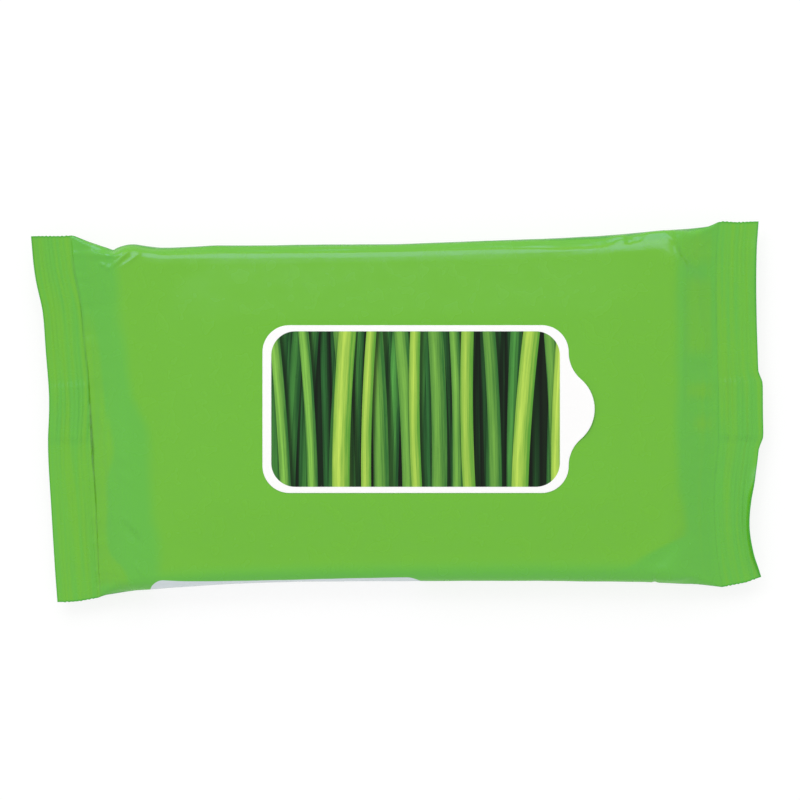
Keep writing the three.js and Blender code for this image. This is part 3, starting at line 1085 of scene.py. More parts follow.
        near_fin = 1 - ease(from_middle, self.fin_edge - self.fin_step, self.fin_edge + self.fin_flare)
        overhang = seal.overhang * near_fin * depth / self.seal_depth
        along = seal.end * (self.seal_start + depth)
        aside = self._tuck(along, place, np.full_like(place, self.film_edge))
        at_edge = 1 - ease(self.film_edge - from_middle, 0, self.scallop_reach)
        aside = aside + np.sign(place) * self.scallop * fullness * at_edge
        reach = out - np.sin(turn) * offset + overhang
        edge_x, edge_y = self._inner_edge(seal, place)
        height = self.side_height / 2 + up + np.cos(turn) * offset
        return np.stack((edge_x + outward_x * reach, edge_y + outward_y * reach + aside, height), axis=-1)

    def _body_points(self, along: Array, place: Array, layer: Layer) -> Array:
        """Gives the points of the pouch between its seals.

        Args:
            along: Places along the pack.
            place: Places across the film laid flat.
            layer: The layer of film.

        Returns:
            The points, in millimetres.
        """
        section = self._section(along)
        across, up = self._outline(section, place)
        middle = (section["low"] + section["high"]) / 2
        if layer is Layer.FRONT:
            height = middle + up + self._crown(along, across)
        else:
            height = middle - up + self._lift(along, place, layer, section["flat"])
        bows = [seal.bow(place / self.film_edge) for seal in self.seals]
        bowed = np.clip(1 - (self.seal_start - np.abs(along)) / self.bow_reach, 0, 1) ** self.bow_power
        x = along + np.where(along < 0, bows[0], -bows[1]) * bowed
        y = across + self._tuck(along, across, section["half"])
        y = y + self._slant_at(along, across / section["half"])
        return np.stack((x, y, height), axis=-1)

    def _film_points(self, stations: Array, place: float, layer: Layer) -> Array:
        """Gives the points of one line along the film, at every station.

        Args:
            stations: Places along the pack.
            place: The line's place across the film laid flat.
            layer: Its layer.

        Returns:
            The points, in millimetres.
        """
        places = np.full_like(stations, place)
        points = self._body_points(stations, places, layer)
        for seal in self.seals:
            depth = seal.end * stations - self.seal_start
            in_seal = depth > 0
            points[in_seal] = self._seal_points(seal, depth[in_seal], places[in_seal], layer)
        return points

    def _crease_heights(self, x: Array, y: Array) -> Array:
        """Gives the height of the creases at points of the front.

        Args:
            x: Places along the pack.
            y: Places across it.

        Returns:
            The height at each point.
        """
        total = np.zeros_like(x)
        for crease in self.creases:
            corner_x = crease.end * self.stack_end
            corner_y = crease.side * self.waist_width / 2 + self.slant * corner_x
            total += crease.heights(x, y, (corner_x, corner_y))
        return total

    def _pleat_heights(self, along: Array, place: Array, on_front: bool) -> Array:
        """Gives the height of the tension lines near the seals.

        Args:
            along: Places along the pack.
            place: Places across the film laid flat.
            on_front: Whether it is the front or the back.

        Returns:
            The height at each place.
        """
        inwards = self.seal_start - np.abs(along)
        distance = np.maximum(inwards, 0)
        start = ease(inwards, *self.pleat_start)
        total = np.zeros_like(along)
        for end in End:
            here = np.where(end * along > 0, 1.0, 0.0)
            for pleat in self.pleats[(end, on_front)]:
                width = pleat.width + pleat.fan * distance
                aside = (place - pleat.place - pleat.lean * distance) / width
                fade = np.exp(-distance / pleat.reach) * start
                total += here * pleat.height * np.exp(-aside * aside) * fade
        return total

    def front_swell(self, x: Array, y: Array) -> Array:
        """Gives how unevenly the front lies on the stack. The label follows it.

        Args:
            x: Places along the pack.
            y: Places across it.

        Returns:
            The height at each point.
        """
        inside_x = ease(self.stack_end - np.abs(x), 0, self.swell_fade[0])
        inside_y = ease(self.face_edge - np.abs(y), 0, self.swell_fade[1])
        return sum(swell(x, y) for swell in self.swells) * inside_x * inside_y

    def _film(self, stations: Array, places: Array, layers: list[Layer], round_web: Array) -> Film:
        """Lays the plain film out, station by line.

        Args:
            stations: The places of the cuts across the pack.
            places: The places of the lines across the film laid flat.
            layers: The layers of the lines.
            round_web: The places of the lines round the web of film.

        Returns:
            The film before its relief.
        """
        points = [self._film_points(stations, place, layer) for place, layer in zip(places, layers)]
        along, place = np.meshgrid(stations, places, indexing="ij")
        web = np.broadcast_to(round_web, along.shape)
        on_front, on_back = (
            np.array([layer is face for layer in layers])[None, :] for face in (Layer.FRONT, Layer.BACK)
        )
        return Film(np.stack(points, axis=1), along, place, web, on_front, on_back)

    def _relief(self, film: Film) -> Array:
        """Gives how far each point of the film stands out from its plain form.

        Args:
            film: The film before its relief.

        Returns:
            The distance outwards, station by line.
        """
        x, y = film.points[..., 0], film.points[..., 1]
        on_face = film.on_front | film.on_back
        from_edge = self.film_edge - np.abs(film.place)
        inwards = self.seal_start - np.abs(film.along)
        body = ease(inwards, *self.body_edge)
        round_edge = np.clip(1 - np.where(film.on_front, 0, from_edge) / self.edge_margin, 0, 1) * on_face
        relief = self._crease_heights(x, y) * round_edge * body
        clear_of_edge = ease(from_edge, 0, self.edge_margin)
        clear_of_fin = ease(np.abs(film.place) - self.fin_edge, *self.fin_margin)
        front, back = (self._pleat_heights(film.along, film.place, on_front) for on_front in (True, False))
        relief += np.where(film.on_front, front, back * clear_of_fin * film.on_back) * clear_of_edge
        relief += np.where(film.on_front, self.front_swell(x, y), 0)
        relief += self.side_fold.height(film.along, film.web - self.face_edge) * film.on_front * body
        near_side = (1 - ease(from_edge, *self.ripple_across)) * on_face
        near_end = ease(np.abs(film.along) - self.stack_end, *self.ripple_along)
        ripple = sum(swell(film.along, film.web) for swell in self.ripples)
        ripple = ripple * blend(*self.ripple_heights, near_end) * ease(inwards, 0, self.ripple_fade)
        relief += near_side * body * ripple
        groove, width = self._groove(film)
        relief -= np.where(film.on_front, self.groove_depth * width * groove * clear_of_edge, 0)
        return relief

    def _crease_inset(self, film: Film) -> Array:
        """Gives how far inwards from each seal its crease lies.

        Args:
            film: The film before its relief.

        Returns:
            The distance, station by line.
        """
        share = film.place / self.film_edge
        left, right = (seal.crease_inset(share) for seal in self.seals)
        return np.where(film.along < 0, left, right)

    def _groove(self, film: Film) -> tuple[Array, Array]:
        """Gives how deep in the crease beside a seal each point lies, from 0 to 1, and how wide it is.

        Args:
            film: The film before its relief.

        Returns:
            The depth and the width, station by line.
        """
        share = film.place / self.film_edge
        left, right = (seal.crease_width(share) for seal in self.seals)
        width = np.where(film.along < 0, left, right)
        past = self.seal_start - np.abs(film.along) - self._crease_inset(film)
        return np.clip(np.where(past > 0, 1 - past / width, 1 + past / self.groove_lip), 0, 1), width

    def _hold(self, film: Film, points: Array) -> Array:
        """Gives how closely the film is held by what lies under it, from 0 to 1.

        Args:
            film: The film before its relief.
            points: Its finished points.

        Returns:
            The hold, station by line.
        """
        hold = self.hold
        depth = np.abs(film.along) - self.seal_start
        on_fin = 1 - ease(np.abs(film.place), self.fin_edge, self.fin_edge + self.fin_flare)
        front = hold.of_body(points[..., 0], points[..., 1], film.web, self.face_edge)
        softness = blend(*hold.seal_softness, ease(film.place, *hold.softer_across))
        in_seal = step_up(depth + self._crease_inset(film), softness)
        front = blend(front, hold.of_seals(film.along, film.place, on_fin), in_seal)
        front = front + hold.fibre(film.along, film.place, depth, on_fin)
        inside = step_up(self.stack_end + hold.back_past[0] - np.abs(film.along), hold.back_softness)
        back = inside * step_up(self.face_edge + hold.back_past[1] - np.abs(film.place), hold.back_softness)
        return np.clip(np.where(film.on_front, front, back), 0, 1)

    def _edge_shade_share(self, film: Film) -> Array:
        """Gives how much painted shade deepens the green down the sides and at the cut ends, from 0 to 1.

        Args:
            film: The film before its relief.

        Returns:
            The share, station by line.
        """
        along = np.abs(film.along)
        from_edge = np.abs(self.film_edge - np.abs(film.web))
        flat = rounded_ramp(along, self.stack_end, self.seal_start, self.shoulder_radius)
        reach = np.where(film.web < 0, self.edge_shade_low_side, self.edge_shade_high_side)
        start = blend(reach, self.edge_shade_at_seal[0], flat)
        stop = blend(reach + self.edge_shade_softness, self.edge_shade_at_seal[1], flat)
        cut_end = ease(along - self.length / 2, *self.edge_shade_cut_edge)
        return np.maximum(1 - ease(from_edge, start, stop), cut_end)

    def _crease_shadow_share(self, film: Film) -> Array:
        """Gives how much painted shadow darkens the front in the creases beside the seals, from 0 to 1.

        Args:
            film: The film before its relief.

        Returns:
            The share of painted shadow, station by line.
        """
        groove, width = self._groove(film)
        (gain_at, gains), (strength_at, strengths) = self.crease_shadow_gain, self.crease_shadow_strength
        crease_shadow = np.minimum(groove * blend(*gains, ease(width, *gain_at)), 1)
        crease_shadow = crease_shadow * blend(*strengths, ease(width, *strength_at)) * ease(width, *self.crease_shadow_width)
        return np.where(np.abs(film.web) < self.film_edge, crease_shadow, 0)

    def _outward(self, points: Array) -> Array:
        """Gives the direction that faces out of the film at each point.

        Args:
            points: The film's points, station by line.

        Returns:
            A unit vector for each.
        """
        along = np.gradient(points, axis=0)
        ring = np.roll(points, -1, axis=1) - np.roll(points, 1, axis=1)
        normals = -np.cross(along, ring)
        size = np.linalg.norm(normals, axis=-1, keepdims=True)
        return normals / np.maximum(size, TINY)

    def _end_triangles(self, places: Array, front: list[int], back: list[int]) -> list[tuple[int, int, int]]:
        """Closes the cut edge of a seal between its front and its back, from the high side down.

        Args:
            places: The places of all lines.
            front: The front's lines.
            back: The back's lines.

        Returns:
            The lines at the corners of each triangle.
        """
        triangles = []
        i, j = 0, 0
        while i < len(front) - 1 or j < len(back) - 1:
            next_front = places[front[i + 1]] if i + 1 < len(front) else -math.inf
            next_back = places[back[j + 1]] if j + 1 < len(back) else -math.inf
            if next_front >= next_back:
                triangles.append((front[i], back[j], front[i + 1]))
                i += 1
            else:
                triangles.append((front[i], back[j], back[j + 1]))
                j += 1
        return [triangle for triangle in triangles if len(set(triangle)) == 3]

    def _flat_web(self, cuts: int, lines: int) -> Piece:
        """Adds the film as a flat grid, one vertex for each cut and line.

        Args:
            cuts: How many cuts there are.
            lines: How many lines there are.

        Returns:
            The flat film.
        """
        bpy.ops.object.select_all(action="DESELECT")
        bpy.ops.mesh.primitive_grid_add(x_subdivisions=cuts - 1, y_subdivisions=lines - 1, size=1)
        web = bpy.context.object
        web.name = "film_pouch_skin"
        web.data.name = web.name
        return web

    def _cut_and_line(self, mesh: Mesh, cuts: int, lines: int) -> tuple[Array, Array]:
        """Tells on which cut and on which line each vertex of the flat grid lies.

        Args:
            mesh: The grid.
            cuts: How many cuts there are.
            lines: How many lines there are.

        Returns:
            The cuts and the lines, vertex by vertex.
        """
        flat = vertex_places(mesh)
        low, high = flat.min(axis=0), flat.max(axis=0)
        cut = (flat[:, 0] - low[0]) / (high[0] - low[0]) * (cuts - 1)
        line = (high[1] - flat[:, 1]) / (high[1] - low[1]) * (lines - 1)
        return np.rint(cut).astype(int), np.rint(line).astype(int)

    def _wrap(self, web: Piece) -> None:
        """Wraps the flat web of film round the stack, joins its edges and closes the ends.

        Args:
            web: The flat film.
        """
        stations = self._stations()
        places, layers, in_slot, round_web = self._columns()
        cuts, lines = len(stations), len(places)
        film = self._film(stations, places, layers, round_web)
        points = film.points + self._outward(film.points) * self._relief(film)[..., None]
        points[..., 2] = np.maximum(points[..., 2], 0)
        points[:, -1] = points[:, 0]
        # Besides the hold, the marks carry painted shade down the sides and at the cut ends, and painted
        # shadow in the creases beside the seals.
        marks = {
            "film_hold": self._hold(film, points),
            "film_depth": self._edge_shade_share(film),
            "film_wear": self._crease_shadow_share(film),
        }
        mesh = web.data
        cut, line = self._cut_and_line(mesh, cuts, lines)
        points += np.array((*self.shift, 0.0))
        move_vertices(mesh, points[cut, line])
        drop_uv_maps(mesh)

        body = bmesh.new()
        body.from_mesh(mesh)
        body.verts.ensure_lookup_table()
        for name, values in marks.items():
            mark = body.verts.layers.float.new(name)
            for vertex in body.verts:
                vertex[mark] = values[cut[vertex.index], line[vertex.index]]
        shut = self._slot_at(stations) == 0
        in_shut_slot = [
            face
            for face in body.faces
            if all(shut[cut[v.index]] for v in face.verts) and in_slot[min(line[v.index] for v in face.verts)]
        ]
        bmesh.ops.delete(body, geom=in_shut_slot, context="FACES_ONLY")
        front = [k for k in range(lines) if layers[k] is Layer.FRONT]
        back = [k for k in range(lines) if layers[k] is not Layer.FRONT and not in_slot[k]]
        closing = self._end_triangles(places, [*front, back[0]], back[::-1])
        at = {(int(i), int(j)): k for k, (i, j) in enumerate(zip(cut, line))}
        for station, step in ((0, 1), (cuts - 1, -1)):
            for triangle in closing:
                body.faces.new([body.verts[at[(station, k)]] for k in triangle][::step])
        web_map = body.loops.layers.uv.new("film_web")
        for face in body.faces:
            for loop in face.loops:
                k = loop.vert.index
                loop[web_map].uv = (stations[cut[k]] * MM, round_web[line[k]] * MM)
        bmesh.ops.remove_doubles(body, verts=body.verts, dist=self.merge_within * MM)
        bmesh.ops.dissolve_degenerate(body, edges=body.edges, dist=self.least_edge * MM)
        body.to_mesh(mesh)
        body.free()
        mesh.update()

    def build(self, finish: "FilmFinish") -> Piece:
        """Makes the pouch and puts it in the place of its plain solid.

        Args:
            finish: What the film looks like.

        Returns:
            The finished piece.
        """
        cuts = len(self._stations())
        lines = len(self._columns()[0])
        pouch = self._flat_web(cuts, lines)
        self._wrap(pouch)
        bpy.ops.object.shade_smooth_by_angle(angle=SMOOTH_UP_TO)
        pouch.data.materials.append(finish.material())
        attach(pouch, "root")
        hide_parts(self.node)
        LOG.info("%s: %d triangles", pouch.name, triangle_count(pouch))
        return pouch


@dataclass
class ResealLabel:
    """The white label over the opening, with its pull tab, stuck flat on the front of the pouch."""

    node: str = "reseal_label"
    slot: str = "white_label"
    length: float = 62.6
    width: float = 34.3
    corner: float = 5.5
    centre: Point = (3.9, 0.4)
    tab_reach: float = 5.3
    tab_radius: float = 8.1
    tab_fillet: float = 7.2
    thickness: float = 0.13
    rim: float = 0.04
    rim_steps: int = 2
    rim_angle: float = math.radians(60)
    clearance: float = 0.01
    tab_lift: float = 0.35
    tab_root: float = 1.5
    arc_steps: int = 18
    outline_step: float = 2.0
    rings: tuple[float, ...] = (0.985, 0.95, 0.9, 0.82, 0.72, 0.62, 0.52, 0.42, 0.32, 0.22, 0.12, 0.04)

    def _outline(self) -> list[Point]:
        """Gives the label's outline: a rectangle with round corners, and a tab that runs out to the right.

        Returns:
            Its corners, in order.
        """
        right, top = self.length / 2, self.width / 2
        middle = self.tab_reach - self.tab_radius
        root = math.sqrt((self.tab_radius + self.tab_fillet) ** 2 - (self.tab_fillet - middle) ** 2)
        turn = math.atan2(root, self.tab_fillet - middle)
        corner = min(self.corner, top - root)
        quarter = math.pi / 2
        arcs = (
            (right + self.tab_fillet, -root, self.tab_fillet, math.pi, math.pi - turn),
            (right + middle, 0.0, self.tab_radius, -turn, turn),
            (right + self.tab_fillet, root, self.tab_fillet, math.pi + turn, math.pi),
            (right - corner, top - corner, corner, 0.0, quarter),
            (corner - right, top - corner, corner, quarter, 2 * quarter),
            (corner - right, corner - top, corner, 2 * quarter, 3 * quarter),
            (right - corner, corner - top, corner, 3 * quarter, 4 * quarter),
        )
        points = []
        for x, y, radius, start, stop in arcs:
            for angle in np.linspace(start, stop, self.arc_steps + 1):
                point = (x + radius * math.cos(angle), y + radius * math.sin(angle))
                if not points or math.dist(point, points[-1]) > LEAST_STEP:
                    points.append(point)
        return self._with_even_sides(points)

    def _with_even_sides(self, points: list[Point]) -> list[Point]:
        """Divides the straight stretches of an outline into even steps.

        Args:
            points: The outline's corners.

        Returns:
            The divided outline.
        """
        longest = self.outline_step
        divided = []
        for start, stop in zip(points, [*points[1:], points[0]]):
            count = max(1, math.ceil(math.dist(start, stop) / longest))
            divided.extend(tuple(map(float, p)) for p in np.linspace(start, stop, count + 1)[:-1])
        return divided

    def build(self, pouch: FilmPouch, finish: "LabelFinish") -> Piece:
        """Makes the label, laid over the uneven front of the pouch.

        Args:
            pouch: The pouch that it is stuck to.
            finish: What the label looks like.

        Returns:
            The finished piece.
        """
        outline = np.array(self._outline())
        bpy.ops.object.select_all(action="DESELECT")
        bpy.ops.mesh.primitive_circle_add(vertices=len(outline), radius=self.length / 2 * MM)
        label = bpy.context.object
        label.name = "reseal_label_print"
        label.data.name = label.name
        for vertex, (x, y) in zip(label.data.vertices, outline):
            vertex.co = (x * MM, y * MM, 0)
        bpy.ops.object.mode_set(mode="EDIT")
        bpy.ops.mesh.select_all(action="SELECT")
        scale = 1.0
        for ring in self.rings:
            share = ring / scale
            bpy.ops.mesh.extrude_edges_move()
            bpy.ops.transform.resize(value=(share, share, 1), center_override=(0, 0, 0))
            scale = ring
        bpy.ops.mesh.merge(type="CENTER")
        bpy.ops.mesh.select_all(action="SELECT")
        bpy.ops.mesh.normals_make_consistent(inside=False)
        bpy.ops.object.mode_set(mode="OBJECT")
        if sum(polygon.normal.z for polygon in label.data.polygons) < 0:
            label.data.flip_normals()
        self._lay_down(label, pouch)
        solid = label.modifiers.new("stock", "SOLIDIFY")
        solid.thickness = self.thickness * MM
        solid.offset = 1
        bpy.ops.object.modifier_apply(modifier=solid.name)
        soft = label.modifiers.new("rim", "BEVEL")
        soft.width = self.rim * MM
        soft.segments = self.rim_steps
        soft.limit_method = "ANGLE"
        soft.angle_limit = self.rim_angle
        bpy.ops.object.modifier_apply(modifier=soft.name)
        bpy.ops.object.shade_smooth_by_angle(angle=SMOOTH_UP_TO)
        drop_uv_maps(label.data)
        label.data.materials.append(finish.material(self, pouch))
        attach(label, "root")
        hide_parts(self.node)
        LOG.info("%s: %d triangles", label.name, triangle_count(label))
        return label

    def _lay_down(self, label: Piece, pouch: FilmPouch) -> None:
        """Lays the label's sheet on the front of the pouch, with the end of its tab a little free.

        Args:
            label: The label's flat sheet.
            pouch: The pouch that it is stuck to.
        """
        points = vertex_places(label.data) / MM
        x = points[:, 0] + self.centre[0]
        y = points[:, 1] + self.centre[1]
        free = ease(points[:, 0] - self.length / 2, -self.tab_root, self.tab_reach)
        height = pouch.front_height + pouch.front_swell(x, y) + self.clearance + self.tab_lift * free**2
        move_vertices(label.data, np.stack((x + pouch.shift[0], y + pouch.shift[1], height), axis=-1))
        label.data.update()


def vertex_places(mesh: Mesh) -> Array:
    """Lists the places of a mesh's vertices, one in each row.

    Args:
        mesh: The mesh.

    Returns:
        Their places, in metres.
    """
    places = np.zeros(3 * len(mesh.vertices))
    mesh.vertices.foreach_get("co", places)
    return places.reshape(-1, 3)


def move_vertices(mesh: Mesh, places: Array) -> None:
    """Moves a mesh's vertices to places that are given in millimetres."""
    mesh.vertices.foreach_set("co", (places * MM).ravel())


def drop_uv_maps(mesh: Mesh) -> None:
    """Takes off the UV maps that a primitive comes with."""
    for layer in list(mesh.uv_layers):
        mesh.uv_layers.remove(layer)


def triangle_count(piece: Piece) -> int:
    """Counts the triangles of a piece's mesh."""
    return sum(len(polygon.vertices) - 2 for polygon in piece.data.polygons)


@dataclass
class Board:
    """A node tree that is being laid out."""

    tree: Tree

    def add(self, kind: str, **settings: object) -> Node:
        """Adds a node and sets its options.

        Args:
            kind: The kind of node.
            settings: Its options, by name.

        Returns:
            The node.
        """
        node = self.tree.nodes.new(kind)
        for name, value in settings.items():
            setattr(node, name, value)
        return node

    def feed(self, socket: Socket, value: object) -> None:
        """Gives an input a value, or links it to another node's output.

        Args:
            socket: The input.
            value: A value, or an output.
        """
        if isinstance(value, Socket):
            self.tree.links.new(value, socket)
        else:
            socket.default_value = value

    def math(self, operation: str, *values: object, clamp: bool = False) -> Socket:
        """Works out one number from others.

        Args:
            operation: What is done.
            values: Values or outputs.
            clamp: Whether it stays from 0 to 1.

        Returns:
            The result.
        """
        node = self.add("ShaderNodeMath", operation=operation, use_clamp=clamp)
        for socket, value in zip(node.inputs, values):
            self.feed(socket, value)
        return node.outputs[0]

    def vector(self, operation: str, *values: object) -> Socket:
        """Works out one vector from others.

        Args:
            operation: What is done.
            values: Values or outputs.

        Returns:
            The result.
        """
        node = self.add("ShaderNodeVectorMath", operation=operation)
        for socket, value in zip(node.inputs, values):
            self.feed(socket, value)
        return node.outputs["Value"] if operation == "LENGTH" else node.outputs["Vector"]

    def fill(self, node: Node, given: dict[str, object]) -> Node:
        """Feeds a node's inputs, given by name, and hands the node back.

        Args:
            node: The node.
            given: Values or outputs, by the names of its inputs.

        Returns:
            The same node.
        """
        for name, value in given.items():
            self.feed(node.inputs[name], value)
        return node

    def ease(
        self, value: object, start: object, stop: object, low: object = 0.0, high: object = 1.0
    ) -> Socket:
        """Goes smoothly from low to high as the value goes from start to stop.

        Args:
            value: Where it is read.
            start: Where it starts.
            stop: Where it stops.
            low: The result up to the start.
            high: The result from the stop on.

        Returns:
            The result.
        """
        node = self.add("ShaderNodeMapRange", interpolation_type="SMOOTHSTEP")
        given = {"Value": value, "From Min": start, "From Max": stop, "To Min": low, "To Max": high}
        return self.fill(node, given).outputs["Result"]

    def mix(self, share: object, first: object, second: object) -> Socket:
        """Mixes two colours.

        Args:
            share: The share of the second colour.
            first: The first.
            second: The second.

        Returns:
            The mixed colour.
        """
        node = self.add("ShaderNodeMix", data_type="RGBA")
        colours = [socket for socket in node.inputs if socket.type == "RGBA"]
        self.feed(node.inputs[0], share)
        self.feed(colours[0], first)
        self.feed(colours[1], second)
        return next(socket for socket in node.outputs if socket.type == "RGBA")

    def noise(self, position: object, scale: object, detail: float = 2.0, roughness: float = 0.5) -> Socket:
        """Gives an uneven field, from 0 to 1."""
        given = {"Vector": position, "Scale": scale, "Detail": detail, "Roughness": roughness}
        return self.fill(self.add("ShaderNodeTexNoise"), given).outputs[0]

    def placed(self, position: object, scale: Point3, offset: Point3 = (0.0, 0.0, 0.0)) -> Socket:
        """Scales and then moves a position."""
        given = {"Vector": position, "Scale": scale, "Location": offset}
        return self.fill(self.add("ShaderNodeMapping"), given).outputs[0]

    def split(self, position: object) -> tuple[Socket, Socket]:
        """Gives the X and the Y of a position."""
        node = self.fill(self.add("ShaderNodeSeparateXYZ"), {"Vector": position})
        return node.outputs["X"], node.outputs["Y"]

    def join(self, x: object, y: object) -> Socket:
        """Makes a position of an X and a Y."""
        return self.fill(self.add("ShaderNodeCombineXYZ"), {"X": x, "Y": y}).outputs[0]

    def mark(self, name: str) -> Socket:
        """Reads a value that the piece's vertices carry."""
        return self.add("ShaderNodeAttribute", attribute_name=name).outputs["Fac"]

    def group(self, tree: Tree, **values: object) -> Node:
        """Places a node group, with its inputs given by name, and underscores for spaces."""
        given = {name.replace("_", " ").capitalize(): value for name, value in values.items()}
        return self.fill(self.add("ShaderNodeGroup", node_tree=tree), given)


def new_group(name: str, inputs: dict[str, str], outputs: dict[str, str]) -> tuple[Board, Node, Node]:
    """Starts a shader node group.

    Args:
        name: The group's name.
        inputs: The names of its inputs, each with its kind: Float, Vector or Color.
        outputs: The same for its outputs.

    Returns:
        The board to lay it out on, and its input and output nodes.
    """
    tree = bpy.data.node_groups.new(name, "ShaderNodeTree")
    for direction, sockets in (("INPUT", inputs), ("OUTPUT", outputs)):
        for socket, kind in sockets.items():
            tree.interface.new_socket(socket, in_out=direction, socket_type=f"NodeSocket{kind}")
    board = Board(tree)
    return board, board.add("NodeGroupInput"), board.add("NodeGroupOutput")


def rounded_field_group() -> Tree:
    """Makes the group that tells how far a point lies inside a field with round corners, from 0 to 1.

    Returns:
        The group.
    """
    inputs = {
        "Position": "Vector", "Centre": "Vector", "Half": "Vector", "Radius": "Float", "Softness": "Float",
    }
    board, given, made = new_group("Printed field", inputs, {"Share": "Float"})
    position, centre, half, radius, softness = (given.outputs[name] for name in inputs)
    aside = board.vector("ABSOLUTE", board.vector("SUBTRACT", position, centre))
    past = board.vector("SUBTRACT", aside, board.vector("SUBTRACT", half, radius))
    past = board.vector("MULTIPLY", past, (1.0, 1.0, 0.0))
    outside = board.vector("LENGTH", board.vector("MAXIMUM", past, (0.0, 0.0, 0.0)))
    inside = board.math("MINIMUM", board.math("MAXIMUM", *board.split(past)), 0.0)
    distance = board.math("SUBTRACT", board.math("ADD", outside, inside), radius)
    inner = board.math("MULTIPLY", softness, -1.0)
    board.feed(made.inputs["Share"], board.ease(distance, softness, inner))
    return board.tree


def skin_group() -> Tree:
    """Makes the group for the fine unevenness of a smooth sheet: broad ripples and a fine grain.

    Returns:
        The group.
    """
    inputs = {"Position": "Vector", "Ripple size": "Float", "Grain size": "Float", "Grain share": "Float"}
    board, given, made = new_group("Sheet skin", inputs, {"Height": "Float", "Ripple": "Float"})
    position, ripple_size, grain_size, grain_share = (given.outputs[name] for name in inputs)
    ripple = board.noise(position, board.math("DIVIDE", 1.0, ripple_size), detail=1.0)
    grain = board.noise(position, board.math("DIVIDE", 1.0, grain_size), detail=2.0)
    height = board.math("ADD", ripple, board.math("MULTIPLY", grain, grain_share))
    board.fill(made, {"Height": height, "Ripple": ripple})
    return board.tree


@dataclass(frozen=True)
class BladePrint:
    """How a printed blade of grass is drawn. Shares are of half its thickness, across it."""

    scatter: float = 0.75
    own_lean: float = 0.012
    edge: Point = (1.03, 0.95)
    body_at: float = -0.25
    body_reach: float = 1.2
    body_gain: float = 0.8
    rib_at: float = 0.12
    rib_edge: Point = (0.14, 0.02)
    rib_gain: float = -0.14
    fibre_spread: Point3 = (2.4, 0.04, 40.0)
    fibre_scale: float = 1.6
    fibre_gain: float = 1.5
    tones: Point = (0.45, 1.15)
    shade_at: float = 0.35
    shade_edge: Point = (1.8, 0.9)
    shade_depth: float = 0.8
    shade: Colour = (0.001, 0.004, 0.001, 1.0)

    def group(self) -> Tree:
        """Makes the group that prints a row of grass blades over what is printed before it.

        Returns:
            The group.
        """
        numbers = ("Pitch", "Lean", "Bend", "Thin", "Thick", "Gaps", "Start")
        inputs = {"Position": "Vector", "Base": "Color", "Dark": "Color", "Light": "Color"}
        inputs.update({name: "Float" for name in numbers})
        board, given, made = new_group("Printed blades", inputs, {"Colour": "Color"})
        position, base, dark, light = (given.outputs[name] for name in ("Position", "Base", "Dark", "Light"))
        pitch, lean, bend, thin, thick, gaps, start = (given.outputs[name] for name in numbers)
        x, y = board.split(position)
        bent = board.math("MULTIPLY", board.math("MULTIPLY", y, y), bend)
        upright = board.math("SUBTRACT", x, board.math("ADD", board.math("MULTIPLY", y, lean), bent))
        counted = board.math("ADD", board.math("DIVIDE", upright, pitch), start)
        stalks = board.add("ShaderNodeTexVoronoi", voronoi_dimensions="1D", feature="F1")
        board.fill(stalks, {"W": counted, "Scale": 1.0, "Randomness": self.scatter})
        chance = board.add("ShaderNodeSeparateColor")
        board.feed(chance.inputs[0], stalks.outputs["Color"])
        pick, tone, tilt = (chance.outputs[name] for name in ("Red", "Green", "Blue"))

        half = board.ease(pick, 0.0, 1.0, thin, thick)
        own_lean = board.math("MULTIPLY", y, self.own_lean)
        own_lean = board.math("MULTIPLY", board.math("SUBTRACT", tilt, 0.5), own_lean)
        aside = board.math("ADD", board.math("SUBTRACT", counted, stalks.outputs["W"]), own_lean)
        across = board.math("DIVIDE", aside, half)
        present = board.math("GREATER_THAN", tone, gaps)
        blade = board.math("MULTIPLY", board.ease(board.math("ABSOLUTE", across), *self.edge), present)
        body = board.ease(self._from(board, across, self.body_at), self.body_reach, 0.0)
        rib = board.ease(self._from(board, across, self.rib_at), *self.rib_edge)
        spread_x, spread_y, spread_tone = self.fibre_spread
        fibre_x = board.math("MULTIPLY_ADD", across, spread_x, board.math("MULTIPLY", tone, spread_tone))
        fibre = board.join(fibre_x, board.math("MULTIPLY", y, spread_y))
        streak = board.noise(fibre, self.fibre_scale, detail=4.0, roughness=0.65)
        streak = board.math("SUBTRACT", streak, 0.5)
        filled = board.math("MULTIPLY", body, self.body_gain)
        lightness = board.math("MULTIPLY_ADD", streak, self.fibre_gain, filled)
        lightness = board.math("MULTIPLY_ADD", rib, self.rib_gain, lightness)
        lightness = board.math("MULTIPLY", lightness, board.ease(tone, 0.0, 1.0, *self.tones), clamp=True)
        shade = board.ease(self._from(board, across, self.shade_at), *self.shade_edge)
        shade = board.math("MULTIPLY", board.math("MULTIPLY", shade, self.shade_depth), present)
        shaded = board.mix(shade, base, self.shade)
        board.feed(made.inputs["Colour"], board.mix(blade, shaded, board.mix(lightness, dark, light)))
        return board.tree

    def _from(self, board: Board, across: Socket, place: float) -> Socket:
        """Gives how far a point lies from a place across the blade."""
        return board.math("ABSOLUTE", board.math("SUBTRACT", across, place))


@dataclass
class Effects:
    """The node groups that the finishes share, each made once."""

    field: Tree
    skin: Tree
    blade: Tree


def new_material(name: str) -> tuple[bpy.types.Material, Board, Node]:
    """Starts a material.

    Args:
        name: The material's name.

    Returns:
        The material, the board to lay its nodes out on, and its surface shader.
    """
    material = bpy.data.materials.new(name)
    material.use_nodes = True
    material.node_tree.nodes.clear()
    board = Board(material.node_tree)
    surface = board.add("ShaderNodeBsdfPrincipled")
    output = board.add("ShaderNodeOutputMaterial")
    board.tree.links.new(surface.outputs[0], output.inputs["Surface"])
    return material, board, surface


